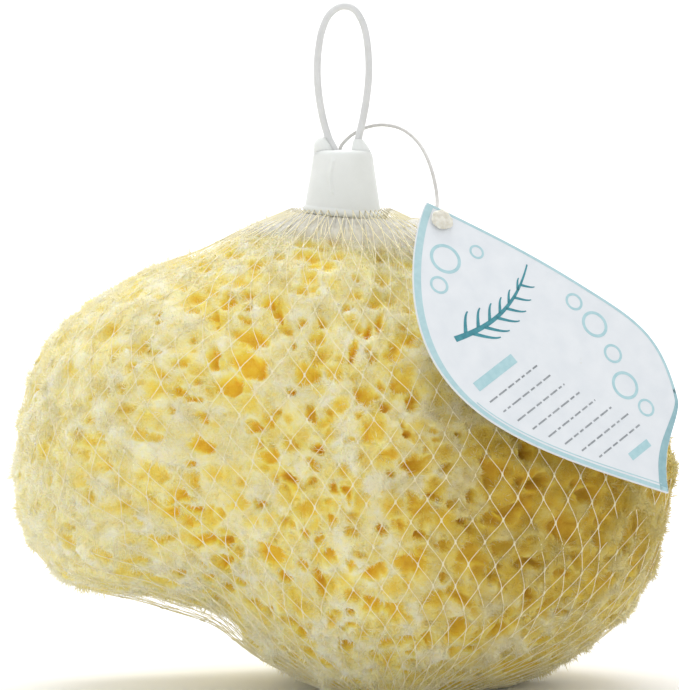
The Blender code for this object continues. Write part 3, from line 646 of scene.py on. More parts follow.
def sixGrids(cells, lean):
    # a cube's six grids blown up to a sphere, then drawn together towards the front
    step = np.tan(np.linspace(-math.pi / 4, math.pi / 4, cells + 1))
    across, up = np.meshgrid(step, step, indexing="ij")
    flat = np.stack([across, up, np.ones_like(up)], axis=-1).reshape(-1, 3)
    quads = gridFaces(np.arange((cells + 1) ** 2).reshape(cells + 1, cells + 1))
    points, faces = [], []
    for order, sign in (
        ((0, 1, 2), (1, 1, 1)), ((0, 1, 2), (-1, 1, -1)), ((2, 0, 1), (1, 1, 1)),
        ((2, 0, 1), (-1, -1, 1)), ((1, 2, 0), (1, 1, 1)), ((1, 2, 0), (1, -1, -1)),
    ):
        points.append(flat[:, order] * np.array(sign))
        faces.append(quads + len(flat) * len(faces))
    points, faces = np.concatenate(points), np.concatenate(faces)
    _, first, back = np.unique(
        np.round(points, 7), axis=0, return_index=True, return_inverse=True
    )
    points, faces = unit(points[first]), back.reshape(-1)[faces]
    points = unit(points + lean * np.array((0.0, -1.0, 0.0)))
    corners = points[faces]
    facing = np.cross(corners[:, 1] - corners[:, 0], corners[:, 2] - corners[:, 0])
    inward = (facing * corners[:, 0]).sum(axis=1) < 0
    faces[inward] = faces[inward][:, ::-1]
    return points, faces


def makeSponge():
    # the heart plus each direction times how far out the skin stands there
    directions, faces = sixGrids(sponge["grid"], sponge["finer in front"])
    reach, depth, tone = spongeSkin(directions)
    points = heart + directions * reach[:, None]
    piece = newPiece("sponge_body", points, [faces], ("sponge",), "sponge")
    # glow marks the low right side: more golden, and darkened there by painted shade
    giveValues(piece, tone=tone, glow=rightShadeAndGold(points))
    print("sponge:", len(faces), "faces, deepest", round(float(depth.max()) * 1000, 1), "mm")
    return piece, points, faces, depth, tone


spongePiece, skinPoints, skinFaces, skinDepth, skinTone = makeSponge()


# tufts and fuzz stand on the sponge's ridges

fringe = {
    "tufts": 1150,             # small tangled crowns, each of several thorns
    "thorns": 8,
    "thorn length": (0.0014, 0.0034),
    "rim thorns": 14,          # for each wide hole, in two or three rows that lean over it
    "thorn width": (0.00020, 0.00032),
    "rim thorn width": (0.00018, 0.00030),
    "tuft": (0.00045, 0.00030, 0.62),  # spread of its roots, how deep they sit, lean of its thorns
    "widest bare hole": 0.0016,
    "fuzz": (46000, 46000, 46000),  # hairs in each of the pieces
    "fuzz length": (0.0007, 0.0021),
    "fuzz width": (0.00018, 0.00034),
    "fuzz clumps": (0.0042, 0.70),  # cell and share by which its length changes
}


def spotsOnSkin(count, rng, deepest):
    # chance places on the sponge's faces: by area, more of them in front, none in the holes
    corners = skinPoints[skinFaces]
    facing = np.cross(corners[:, 2] - corners[:, 0], corners[:, 3] - corners[:, 1])
    area = np.linalg.norm(facing, axis=1)
    middle = corners.mean(axis=1)
    share = area * (0.4 + 0.6 * (middle[:, 1] < 0.008)) * (middle[:, 2] > 0.003)
    share = share * (skinDepth[skinFaces].max(axis=1) < deepest)
    pick = rng.choice(len(skinFaces), count, p=share / share.sum())
    u, v = rng.random((2, count, 1))
    a, b, c, d = np.moveaxis(corners[pick], 1, 0)
    places = (1 - v) * ((1 - u) * a + u * b) + v * ((1 - u) * d + u * c)
    return places, unit(facing[pick]), skinTone[skinFaces[pick]].mean(axis=1)


def makeTufts():
    # crowns of thorns on the skin between the holes, and rows of them on the holes' rims
    rng = np.random.default_rng(21)
    places, normals, _ = spotsOnSkin(fringe["tufts"], rng, 0.0007)
    normals = unit(normals + unit(lobeField(places)[1]))
    around = rng.normal(0, 1, (len(places), fringe["thorns"], 3))
    spread, sunk, lean = fringe["tuft"]
    roots = places[:, None] + spread * around - sunk * normals[:, None]
    aims = unit(normals[:, None] + lean * around)
    curls = unit(np.cross(aims, rng.normal(0, 1, aims.shape)))
    low, high = fringe["thorn length"]
    length = rng.uniform(low, high, roots.shape[:2]) * rng.uniform(0.5, 1.1, (len(places), 1))
    width = rng.uniform(*fringe["thorn width"], roots.shape[:2])
    roots, aims, curls = (each.reshape(-1, 3) for each in (roots, aims, curls))
    length, width = length.ravel(), width.ravel()
    keep = (roots + 1.1 * aims * length[:, None])[:, 2] > 0.0012
    rimRoots, rimAims, rimLength = rimRows(rng)
    roots, aims = np.vstack([roots[keep], rimRoots]), np.vstack([aims[keep], rimAims])
    curls = np.vstack([curls[keep], unit(np.cross(rimAims, rng.normal(0, 1, rimAims.shape)))])
    length = np.append(length[keep], rimLength)
    width = np.append(width[keep], rng.uniform(*fringe["rim thorn width"], len(rimLength)))
    piece = spikes("sponge_tufts", roots, aims, curls, length, width, slot="sponge")
    # the tufts carry the same low right mask of painted shade and more golden colour
    giveValues(
        piece, tone=np.tile((0.12, 0.12, 0.12, 0.04, 0.04, 0.04, 0.0), len(roots)),
        glow=np.repeat(rightShadeAndGold(roots), 7),
    )
    print("tufts:", len(piece.data.polygons), "faces")
    return piece


def rimRows(rng):
    # short rows of nearly parallel thorns that stand on a hole's rim and lean over it
    count = fringe["rim thorns"]
    wide = holes[holes[:, 9:11].min(axis=1) > fringe["widest bare hole"]]
    ways, first, second = wide[:, :3], wide[:, 3:6], wide[:, 6:9]
    sizes = wide[:, 9:11]
    start = rng.uniform(0, 2 * math.pi, (len(wide), 3))
    row = rng.integers(0, 3, (len(wide), count))
    angle = np.take_along_axis(start, row, axis=1) + rng.uniform(-0.45, 0.45, row.shape)
    out = rng.uniform(0.98, 1.22, row.shape)
    reach = baseReach(ways)
    offset = (
        (np.cos(angle) * out * sizes[:, :1])[..., None] * first[:, None]
        + (np.sin(angle) * out * sizes[:, 1:])[..., None] * second[:, None]
    )
    rootWays = unit(ways[:, None] * reach[:, None, None] + offset).reshape(-1, 3)
    rootReach, depth, _ = spongeSkin(rootWays)
    roots = heart + rootWays * (rootReach - 0.0002)[:, None]
    inward = -unit(offset).reshape(-1, 3)
    normals = unit(lobeField(roots)[1])
    aims = unit(normals + 0.7 * inward + 0.35 * rng.normal(0, 1, roots.shape))
    length = rng.uniform(0.0007, 0.0022, len(roots))
    keep = ((roots + aims * length[:, None])[:, 2] > 0.001) & (depth < 0.0030)
    return roots[keep], aims[keep], length[keep]


def makeFuzz(number, count):
    # short hairs that lean over sideways, on the two ends up and down as the streaks run
    rng = np.random.default_rng(40 + number)
    places, normals, tone = spotsOnSkin(count, rng, 0.0019)
    lean = rng.normal(0, 1, places.shape)
    ends = easeBetween(0.030, 0.070, np.abs(places[:, :1]))
    lean[:, 2] *= 1 + 2.5 * ends[:, 0]
    aims = unit(0.9 * normals + 0.75 * unit(lean))
    low, high = fringe["fuzz length"]
    length = (low + (high - low) * rng.random(len(places)) ** 1.8) * (1 - 0.6 * tone)
    cell, share = fringe["fuzz clumps"]
    length = length * (1 + share * grainNoise(places, cell, 12))
    roots = places - 0.00015 * normals
    tips = roots + aims * length[:, None]
    keep = tips[:, 2] > 0.0008
    roots, tips, tone = roots[keep], tips[keep], tone[keep]
    width = rng.uniform(*fringe["fuzz width"], len(roots))
    piece = cones(f"sponge_fuzz_{number}", roots, tips, width, slot="sponge")
    tones = np.stack([tone, tone, tone, tone - 0.22], axis=1)
    # the fuzz carries the same low right mask of painted shade and more golden colour
    giveValues(piece, tone=np.clip(tones, 0, 1), glow=np.repeat(rightShadeAndGold(roots), 4))
    print("fuzz:", len(piece.data.polygons), "faces")
    return piece


tuftPiece = makeTufts()
fuzzPieces = [makeFuzz(number, count) for number, count in enumerate(fringe["fuzz"], 1)]


# the net bag: threads in anti-phase waves, tied where they touch

net = {
    "cells round": 52,
    "rows": 25,                # half-rows of cells from the neck down to the seam
    "steps": 9,                # stations in each half-row
    "thread": 0.00011,         # radius
    "knot": (0.00074, 0.00026),  # half-length and radius
    "gap": 0.0008,             # over the sponge's skin
    "tautness": 0.42,          # 1 spans every hollow straight across
    "level weight": 0.55,      # level travel counts less, so the rows keep their height
    "neck": (                  # half-width, half-depth, height: over the lip and into the cap
        (0.0134, 0.0106, 0.1274), (0.0121, 0.0093, 0.1262), (0.0112, 0.0084, 0.1246),
        (0.0098, 0.0070, 0.1238), (0.0082, 0.0055, 0.1246), (0.0074, 0.0048, 0.1270),
        (0.0068, 0.0043, 0.1300),
    ),
    "seam": ((-0.002, -0.0225, 0.0007), (0.026, -0.0215, 0.0007)),  # where the bag is closed
    "low": (0.19, -0.34, -0.92),  # direction from the heart in which the threads meet
    "planes": 2600,            # that touch the sponge, for its tight skin
    "wave": (1.22, 7),         # height of its straight sides before, and how sharply, its tips are cut
    "apart": 0.02,             # how far the threads of a tie keep apart, as a share of a cell
}


def neckRim(turn):
    # the neck's widest ring at these turns, from the heart
    wide, deep, high = net["neck"][0]
    ring = np.stack([wide * np.cos(turn), deep * np.sin(turn), np.full(len(turn), high)], axis=1)
    return ring + middleShift - heart


def hullReach(directions):
    # the tight skin round sponge and neck: the nearest of many planes that only touch it
    planes = evenDirections(net["planes"])
    rim = neckRim(np.linspace(0, 2 * math.pi, 40, endpoint=False))
    places = np.vstack([planes * baseReach(planes)[:, None], rim])
    far = (planes @ places.T).max(axis=1)
    grazing, chunk, reach = 0.05, 4000, []
    for start in range(0, len(directions), chunk):
        facing = directions[start:start + chunk] @ planes.T
        met = np.where(facing > grazing, far / np.maximum(facing, grazing), np.inf)
        reach.append(met.min(axis=1))
    return np.concatenate(reach)


def netReach(directions):
    # the sponge's skin plus a share of the way to the tight skin, which is all of it at the neck
    skin = baseReach(directions)
    hull = hullReach(directions)
    offAxis = np.hypot(directions[:, 0], directions[:, 1]) * skin
    taut = net["tautness"] + (1 - net["tautness"]) * (
        (directions[:, 2] > 0) * np.exp(-((offAxis / 0.035) ** 2))
    )
    reach = skin + (hull - skin) * taut + net["gap"]
    ground = (heart[2] - 0.00040) / np.maximum(-directions[:, 2], 1e-6)
    return np.where(directions[:, 2] < 0, np.minimum(reach, ground), reach)


def netMap():
    # tables from (share round, share down) to a direction, with rows of even height
    rounds, downs = 240, 260
    turn = 2 * math.pi * np.arange(rounds) / rounds
    equator = np.stack([np.cos(turn), np.sin(turn), np.zeros(rounds)], axis=1)
    outline = equator * netReach(equator)[:, None]
    edge = np.linalg.norm(np.roll(outline, -1, axis=0) - outline, axis=1)
    walked = np.concatenate([[0], np.cumsum(edge)])
    roundShare = walked / walked[-1]
    turns = np.concatenate([turn, [2 * math.pi]])
    share = np.linspace(0, 1, downs)
    low = unit(np.array(net["low"]))
    top = unit(neckRim(turn))
    way = unit(
        ((1 - share) ** 2)[None, :, None] * top[:, None]
        + (2.2 * share * (1 - share))[None, :, None] * equator[:, None]
        + (share**2)[None, :, None] * low
    )
    place = way * netReach(way.reshape(-1, 3)).reshape(rounds, downs)[..., None]
    step = np.diff(place, axis=1)
    step[..., :2] *= net["level weight"]
    walked = np.concatenate(
        [np.zeros((rounds, 1)), np.cumsum(np.linalg.norm(step, axis=2), axis=1)], axis=1
    )
    rows = np.linspace(0, 1, 160)
    table = np.stack([np.interp(rows, each / each[-1], share) for each in walked])
    return turns, roundShare, table, top, low


def netDirections(roundWay, downWay, tables):
    # looks both tables up with straight lines between their entries
    turns, roundShare, table, top, low = tables
    turn = np.interp(roundWay % 1, roundShare, turns)
    column = turn / (2 * math.pi) * len(table)
    left = np.floor(column).astype(int)
    part = column - left
    row = np.clip(downWay, 0, 1) * (table.shape[1] - 1)
    above = np.minimum(np.floor(row).astype(int), table.shape[1] - 2)
    down = row - above
    left, right = left % len(table), (left + 1) % len(table)
    share = (
        (table[left, above] * (1 - part) + table[right, above] * part) * (1 - down)
        + (table[left, above + 1] * (1 - part) + table[right, above + 1] * part) * down
    )[..., None]
    equator = np.stack([np.cos(turn), np.sin(turn), np.zeros(turn.shape)], axis=-1)
    start = top[left] * (1 - part)[..., None] + top[right] * part[..., None]
    return unit((1 - share) ** 2 * start + 2.2 * share * (1 - share) * equator + share**2 * low), turn


def onNet(roundWay, downWay, tables):
    # the place on the bag, run together at the seam under the sponge
    shape = roundWay.shape
    roundWay, downWay = roundWay.ravel(), downWay.ravel()
    sway = 0.0035 * np.sin(2 * math.pi * (3 * roundWay + 2.1 * downWay) + 1.0)
    sway += 0.0022 * np.sin(2 * math.pi * (7 * roundWay - 3.3 * downWay) + 2.0)
    lift = 0.009 * np.sin(2 * math.pi * (4 * roundWay + 0.7 * downWay) + 0.4)
    quiet = np.sin(math.pi * np.clip(downWay, 0, 1))
    ways, turn = netDirections(roundWay + sway * quiet, downWay + lift * quiet, tables)
    places = heart + ways * netReach(ways)[:, None]
    first, last = (np.array(end) + middleShift for end in net["seam"])
    seam = (first + last) / 2 + (last - first) / 2 * np.cos(turn)[:, None]
    share = easeBetween(0.93, 1.0, downWay)[:, None]
    places = places * (1 - share) + seam * share
    return places.reshape(*shape, 3), turn.reshape(shape)


def makeNet():
    # wave number k leans left and right by half its spacing; its neighbour does the opposite
    tables = netMap()
    count, rows, steps = 2 * net["cells round"], net["rows"], net["steps"]
    row = np.arange(rows * steps + 1) / steps
    height, sharp = net["wave"]
    ramp = height * (1 - 2 * np.abs((row + 1) % 2 - 1))
    wave = ramp / (1 + np.abs(ramp) ** sharp) ** (1 / sharp)
    wave = wave / np.abs(wave).max()
    thread = np.arange(count)
    sign = np.where(thread % 2, 1.0, -1.0)
    spread = 0.25 - net["apart"]
    roundWay = (thread[:, None] + 0.5 + 2 * spread * sign[:, None] * wave[None]) / count
    downWay = np.broadcast_to(row / rows, roundWay.shape)
    places, turn = onNet(roundWay, downWay, tables)
    neck = np.array(net["neck"][1:])[::-1]
    topTurn = turn[:, :1]
    into = np.stack([
        neck[:, 0] * np.cos(topTurn), neck[:, 1] * np.sin(topTurn),
        np.broadcast_to(neck[:, 2], (count, len(neck))),
    ], axis=-1) + middleShift + np.array((0.0005, 0, 0))
    paths = np.concatenate([into, places], axis=1)
    piece = tubes("net_threads", paths, net["thread"], cadNodes=("net_bag",), slot="net")
    touching = []
    for knotRow in range(1, rows):
        # on odd rows the even threads meet the next ones, on even rows the odd threads
        meets = thread[1 - knotRow % 2::2]
        touching.append(np.stack([(meets + 1.0) / count, np.full(len(meets), knotRow / rows)], axis=1))
    touching = np.concatenate(touching)
    middle, _ = onNet(touching[:, 0], touching[:, 1], tables)
    before, _ = onNet(touching[:, 0], touching[:, 1] - 0.15 / rows, tables)
    after, _ = onNet(touching[:, 0], touching[:, 1] + 0.15 / rows, tables)
    outs = unit(lobeField(middle)[1])
    half, radius = net["knot"]
    knots = spindles("net_knots", middle, unit(after - before), outs, half, radius, slot="net")
    print("net:", len(piece.data.polygons), "and", len(knots.data.polygons), "faces")
    return piece, knots, tables


netPiece, netKnots, netTables = makeNet()


fray = {
    "seam": (70, 0.0035, 0.0080),  # count, shortest and longest
    "seam aim": (0.0, -1.0, 0.12),
    "neck": (26, 0.0012, 0.0040),
    "neck round": (0.30, 0.62),  # shares of the way round and down the bag
    "neck down": (0.02, 0.12),
    "radius": 0.00015,
}


def makeFray():
    # loose thread ends: short arcs that leave the seam and the tent at the neck
    rng = np.random.default_rng(31)
    seamRoots, *seamLength = fray["seam"]
    neckRoots, *neckLength = fray["neck"]
    first, last = (np.array(end) + middleShift for end in net["seam"])
    roots = first + (last - first) * rng.random((seamRoots, 1)) + rng.normal(0, 0.0004, (seamRoots, 3))
    roots[:, 2] = np.abs(roots[:, 2] - 0.0006) + 0.0006
    aims = unit(np.array(fray["seam aim"]) + rng.normal(0, 0.45, (seamRoots, 3)) * np.array((1, 0.4, 0.35)))
    length = rng.uniform(*seamLength, seamRoots)
    topWay = rng.uniform(*fray["neck round"], neckRoots)
    topDown = rng.uniform(*fray["neck down"], neckRoots)
    topRoots, _ = onNet(topWay, topDown, netTables)
    topAims = unit(unit(topRoots - heart) + rng.normal(0, 0.7, topRoots.shape))
    roots = np.vstack([roots, topRoots])
    aims = np.vstack([aims, topAims])
    length = np.append(length, rng.uniform(*neckLength, neckRoots))
    curl = unit(np.cross(aims, rng.normal(0, 1, aims.shape))) * rng.uniform(0.1, 0.7, (len(aims), 1))
    share = np.linspace(0, 1, 9)[None, :, None]
    paths = roots[:, None] + length[:, None, None] * (share * aims[:, None] + share**2 * curl[:, None])
    paths[..., 2] = np.maximum(paths[..., 2], 0.00022)
    taper = fray["radius"] * (1 - 0.6 * share[..., 0])
    return tubes("net_fray", paths, taper, slot="net")


frayPiece = makeFray()


gather = {
    "threads": 64,
    "radius": 0.00011,
    "left": 0.0132,            # how far out the shoulder stands
    "right": 0.0245,
    "deep": 0.0112,
    "height": 0.1257,
    "stations": 15,
    "columns": 288,            # of the bunch, whose netting is too fine to tell its threads apart
    "pleat": 0.00016,
    "thickness": 0.00025,
}


def gatherPaths(turn, reach, lift, down, swerve):
    # out of the cap's mouth, level to a shoulder, then down on to the bag
    cos, sin = np.cos(turn)[:, None], np.sin(turn)[:, None]
    right = (0.5 + 0.5 * cos) ** 2
    wide = (gather["left"] + (gather["right"] - gather["left"]) * right) * reach[:, None]
    high = gather["height"] - 0.0011 * cos + lift[:, None]
    mouth = np.hstack([0.0088 * cos, 0.0062 * sin, 0 * cos + 0.1265]) + middleShift
    lip = np.hstack([0.0104 * cos, 0.0077 * sin, high - 0.0004]) + middleShift
    shoulder = np.hstack([wide * cos, gather["deep"] * reach[:, None] * sin, high]) + middleShift
    turns, roundShare = netTables[:2]
    around = np.interp(turn, turns, roundShare) + swerve
    far, _ = onNet(around, 0.045 + 0.05 * right[:, 0] + down, netTables)
    middle = (shoulder + far) / 2 + np.array((0, 0, 0.0006))
    routes = np.stack([mouth, lip, shoulder, middle, far], axis=1)
    return np.stack([smoothRun(route, gather["stations"]) for route in routes])


def makeGather():
    # single threads that stand out of the bunched net under the cap
    rng = np.random.default_rng(33)
    count, stations = gather["threads"], gather["stations"]
    paths = gatherPaths(
        rng.uniform(0, 2 * math.pi, count), rng.uniform(0.90, 1.04, count),
        rng.normal(0, 0.00020, count), rng.uniform(0, 0.05, count), rng.normal(0, 0.006, count),
    )
    sway = rng.normal(0, 0.0003, (count, 3, 1)) * np.sin(np.linspace(0, math.pi * 2, stations))
    paths = paths + np.moveaxis(sway, 1, 2)
    return tubes("net_gather", paths, gather["radius"], 3, slot="net", smooth=False)


def makeBunch():
    # the bunch itself: a thin pleated skirt, dense at the cap and thinning out to nothing
    columns, stations = gather["columns"], gather["stations"]
    turn = 2 * math.pi * np.arange(columns) / columns
    still = np.zeros(columns)
    wave = np.sin(61 * turn + 2 * np.sin(5 * turn)) + 0.6 * np.sin(97 * turn + 3 * np.sin(3 * turn))
    outer = gatherPaths(turn, still + 0.985, 0.5 * gather["pleat"] * wave, still + 0.035, still)
    ahead = np.gradient(outer, axis=1)
    beside = np.roll(outer, -1, axis=0) - np.roll(outer, 1, axis=0)
    normal = unit(np.cross(beside, ahead))
    normal = normal * np.sign((normal * (outer - heart)).sum(axis=-1, keepdims=True))
    outer = outer + gather["pleat"] * wave[:, None, None] * normal
    inner = outer - gather["thickness"] * normal
    number = np.arange(columns * stations).reshape(columns, stations)
    closed = np.concatenate([number, number[:1]])
    quads, shift = gridFaces(closed), columns * stations
    top, low = (
        np.stack([edge[:-1], edge[:-1] + shift, edge[1:] + shift, edge[1:]], axis=1)
        for edge in (closed[:, 0], closed[:, -1])
    )
    faces = [quads, quads[:, ::-1] + shift, top, low[:, ::-1]]
    piece = newPiece("net_bunch", np.stack([outer, inner]), faces, slot="net")
    share = np.linspace(0, 1, stations)
    dense = 1 - easeBetween(0.42, 0.97, share + 0.05 * wave[:, None])
    thick = 0.42 + 0.30 * np.cos(turn) ** 2 + 0.05 * wave
    giveValues(piece, haze=np.tile((dense * thick[:, None]).ravel(), 2))
    return piece


gatherPiece = makeGather()
bunchPiece = makeBunch()


# the cap: an oval cone shell, its lip, its roof and the two bosses that hold the loop

cap = {
    "x": 0.0005,
    "turns": 160,
    "inside": (                # half-width, half-depth, height from the roof down
        (0.0020, 0.0014, 0.1420), (0.0060, 0.0040, 0.1418), (0.0068, 0.0046, 0.1400),
        (0.0085, 0.0058, 0.1290), (0.0092, 0.0064, 0.1253),
    ),
    "lip": (
        (0.0095, 0.0067, 0.1250), (0.0103, 0.0075, 0.1250), (0.0106, 0.0078, 0.1253),
        (0.0107, 0.0079, 0.1260), (0.0106, 0.0078, 0.1268), (0.0103, 0.0075, 0.1271),
    ),
    "wall": ((0.01015, 0.0074, 0.1272), (0.0081, 0.0058, 0.1412)),  # its foot and its top
    "wall rings": 44,
    "roof": (
        (0.0080, 0.0057, 0.1420), (0.0077, 0.0055, 0.1429), (0.0072, 0.0051, 0.1434),
        (0.0064, 0.0045, 0.1436), (0.0040, 0.0028, 0.1436), (0.0020, 0.0014, 0.1436),
    ),
    "lean": 0.0010,            # the mouth's left side is cut higher than its right side
    "crease": ((-0.0022, 0.1409), (-0.0031, 0.1366), (-0.0025, 0.1324)),  # across, height
    "crease ridge": (0.00042, 0.00045),  # width and height
    "boss bumps": (0.0016, 0.00022, 0.00005),  # cell, and height on the left and on the right
    "bosses": (                # rings of middle, half-width, half-depth, height
        ((-0.0046, 0.0026, 0.0026, 0.1420), (-0.0047, 0.0026, 0.0026, 0.1440),
         (-0.0050, 0.0023, 0.0025, 0.1450), (-0.0052, 0.0018, 0.0020, 0.1460),
         (-0.0051, 0.0013, 0.0015, 0.1467), (-0.0049, 0.0007, 0.0008, 0.1471)),
        ((0.0053, 0.0027, 0.0028, 0.1408), (0.0053, 0.0026, 0.0028, 0.1434),
         (0.0052, 0.0024, 0.0025, 0.1440), (0.0050, 0.0020, 0.0021, 0.1449),
         (0.0047, 0.0015, 0.0016, 0.1459), (0.0046, 0.0012, 0.0013, 0.1465)),
    ),
}


def ringStack(middles, wides, deeps, heights, turns):
    # a closed skin through oval rings, the first and the last closed with one face
    turn = 2 * math.pi * np.arange(turns) / turns
    middles, wides, deeps, heights = (
        np.asarray(each, float)[:, None] for each in (middles, wides, deeps, heights)
    )
    points = np.stack([
        middles + wides * np.cos(turn), deeps * np.sin(turn), heights * np.ones(turns),
    ], axis=-1) + middleShift
    number = np.arange(points.shape[0] * turns).reshape(-1, turns)
    return points.reshape(-1, 3), [ringFaces(number), number[:1, ::-1], number[-1:]]


def makeCap():
    # the shell's rings, its mouth cut aslant, a raised crease on the front, and the two bosses
    foot, top = (np.array(ring) for ring in cap["wall"])
    share = np.linspace(0, 1, cap["wall rings"])[:, None]
    rings = np.vstack([cap["inside"], cap["lip"], foot + (top - foot) * share, cap["roof"]])
    middles = np.full(len(rings), cap["x"])
    points, groups = ringStack(middles, *rings.T, cap["turns"])
    low = easeBetween(0.1400, 0.1250, points[:, 2])
    points[:, 2] += cap["lean"] * low * (1 - points[:, 0] / rings[:, 0].max())
    line = smoothRun([(across, 0.0, high) for across, high in cap["crease"]], 24)
    apart = np.hypot(*(points[:, None, (0, 2)] - line[None, :, (0, 2)]).transpose(2, 0, 1))
    outer = np.repeat(np.arange(len(rings)) >= len(cap["inside"]), cap["turns"])
    wide, high = cap["crease ridge"]
    ridge = np.exp(-((apart.min(axis=1) / wide) ** 2)) * outer * (points[:, 1] < 0)
    points[:, 1] -= high * ridge
    allPoints, allGroups, start = [points], list(groups), len(points)
    cell, *heights = cap["boss bumps"]
    for boss, height in zip(cap["bosses"], heights):
        points, groups = ringStack(*np.array(boss).T, 40)
        bumps = grainNoise(points, cell, 14)[:, None] * height
        points = points + bumps * unit(points - points.mean(axis=0))
        allPoints.append(points)
        allGroups += [group + start for group in groups]
        start += len(points)
    piece = newPiece("cap_shell", np.vstack(allPoints), allGroups, ("cap",), "cap")
    piece.data.set_sharp_from_angle(angle=math.radians(50))
    print("cap:", len(piece.data.polygons), "faces")
    return piece


capPiece = makeCap()


# the hanging loop: a moulded plastic cord through the two bosses

loop = {
    "radius": 0.0009,
    "route": (
        (-0.0012, 0.1410), (-0.0018, 0.1438), (-0.0032, 0.1466), (-0.0045, 0.1507),
        (-0.0054, 0.1549), (-0.0060, 0.1590), (-0.0063, 0.1631), (-0.0063, 0.1672),
        (-0.0059, 0.1713), (-0.0051, 0.1754), (-0.0034, 0.1793), (-0.0009, 0.1815),
        (0.0016, 0.1819), (0.0040, 0.1806), (0.0060, 0.1770), (0.0070, 0.1724),
        (0.0074, 0.1672), (0.0074, 0.1631), (0.0070, 0.1588), (0.0064, 0.1547),
        (0.0056, 0.1507), (0.0047, 0.1467), (0.0043, 0.1438), (0.0043, 0.1410),
    ),
}


def makeLoop():
    # a tube on the route, a little thicker where it starts
    route = np.array([(across, 0.0, up) for across, up in loop["route"]]) + middleShift
    path = smoothRun(route, 170)
    share = np.linspace(0, 1, 170)
    radius = loop["radius"] * (1.12 + 0.03 * np.sin(9 * share) + 0.14 * np.exp(-share / 0.03))
    return tubes(
        "loop_cord", path[None], radius[None], 14, np.array((0.0, 1.0, 0.0)),
        cadNodes=("hang_loop",), slot="loop",
    )


loopPiece = makeLoop()


# the swing tag: a bent leaf of card with a coloured edge and plain ornaments

ink = {
    "lift": 0.00004,           # how proud the print stands of the card
    "left edge": 0.0020,       # widths of the coloured edge
    "right edge": 0.0008,
    "bubbles": (               # along, across, radius, half-width of the ring
        (-0.0345, -0.0085, 0.0040, 0.00045), (-0.0300, -0.0160, 0.0023, 0.00035),
        (-0.0310, 0.0010, 0.0018, 0.00030), (-0.0050, 0.0150, 0.0022, 0.00034),
        (0.0030, 0.0155, 0.0034, 0.00042), (0.0120, 0.0140, 0.0024, 0.00034),
        (0.0205, 0.0105, 0.0036, 0.00042), (0.0285, 0.0115, 0.0022, 0.00032),
    ),
    "bands": ((-0.0030, -0.0290, -0.0130, 0.0014), (0.0360, -0.0030, 0.0050, 0.0011)),
    "rules": (8, 0.0022, 0.0041),  # count, first place along and step
    "dash": (0.0010, 0.0036, 0.0008),  # shortest, longest and the space between
    "rule half": 0.00024,
}


def cardEdges(share):
    # the two edges as sine arches whose fullness is shifted towards one tip
    low = -card["left width"] * np.sin(math.pi * share ** card["left fullness"])
    high = card["right width"] * np.sin(math.pi * (1 - share) ** card["right fullness"])
    swell, where, reach = card["bulge"]
    high = high * (1 + swell * np.exp(-(((share - where) / reach) ** 2)))
    first, last = card["drawn in"]                      # so the last stretch runs in an S
    return low, high * (1 - first * easeBetween(0.825, 0.945, share) - last * easeBetween(0.92, 1, share))


def makeCard():
    # stations from tip to tip, columns from edge to edge, both faces half the thickness out
    stations, columns = 150, 48
    share = (1 - np.cos(math.pi * np.linspace(0.012, 0.988, stations))) / 2
    along = (share - 0.5) * card["length"]
    low, high = cardEdges(share)
    column = np.linspace(0, 1, columns)
    across = low[:, None] + (high - low)[:, None] * column
    half = card["thickness"] / 2
    front, _ = onCard(along[:, None] + 0 * across, across, half)
    back, _ = onCard(along[:, None] + 0 * across, across, -half)
    number = np.arange(stations * columns).reshape(stations, columns)
    quads = gridFaces(number)
    border = np.concatenate([number[:-1, 0], number[-1, :-1], number[:0:-1, -1], number[0, :0:-1]])
    after = np.roll(border, -1)
    shift = stations * columns
    walls = np.stack([border, border + shift, after + shift, after], axis=1)
    faces = [quads, quads[:, ::-1] + shift, walls]
    piece = newPiece("tag_card", np.stack([front, back]), faces, ("tag",), "tag", smooth=False)
    punchHole(piece)
    return piece


def punchHole(piece):
    # a round cutter through the card, used once and then removed
    hole, facing = onCard(*card["hole"])
    count, past = 28, 0.002                             # its sides, and how far it stands out
    side = unit(np.cross(facing, np.array((0.0, 0, 1))))
    ring = hole + card["hole radius"] * ringAround(side, np.cross(facing, side), count)
    points = np.vstack([ring - past * facing, ring + past * facing])
    number = np.arange(2 * count).reshape(2, count)
    faces = [*ringFaces(number).tolist(), number[0, ::-1].tolist(), number[1].tolist()]
    mesh = bpy.data.meshes.new("punch")
    mesh.from_pydata(points.tolist(), [], faces)
    punch = bpy.data.objects.new("punch", mesh)
    scene.collection.objects.link(punch)
    step = piece.modifiers.new("hole", "BOOLEAN")
    step.operation, step.solver, step.object = "DIFFERENCE", "EXACT", punch
    bpy.context.view_layer.update()
    done = bpy.data.meshes.new_from_object(piece.evaluated_get(bpy.context.evaluated_depsgraph_get()))
    piece.modifiers.clear()
    piece.data = done
    bpy.data.objects.remove(punch)
    print("card:", len(done.polygons), "faces")


def inkStrips(name, runs):
    # flat ribbons on the card: each run has places along, across and a half-width
    points, walls, ends, start = [], [], [], 0
    half = card["thickness"] / 2
    for along, across, wide in runs:
        along, across = np.asarray(along, float), np.asarray(across, float)
        ahead = unit(np.stack([np.gradient(along), np.gradient(across)], axis=1))
        wide = np.broadcast_to(wide, along.shape)
        rings = []
        for side, out in ((1, ink["lift"]), (-1, ink["lift"]), (-1, -0.0001), (1, -0.0001)):
            place, _ = onCard(
                along - side * ahead[:, 1] * wide, across + side * ahead[:, 0] * wide, half + out
            )
            rings.append(place)
        count = len(along)
        points.append(np.stack(rings, axis=1).reshape(-1, 3))
        number = start + np.arange(4 * count).reshape(count, 4)
        walls.append(ringFaces(number))
        ends += [number[0, ::-1], number[-1]]
        start += 4 * count
    return newPiece(name, np.concatenate(points), [*walls, ends], slot="tag", smooth=False)


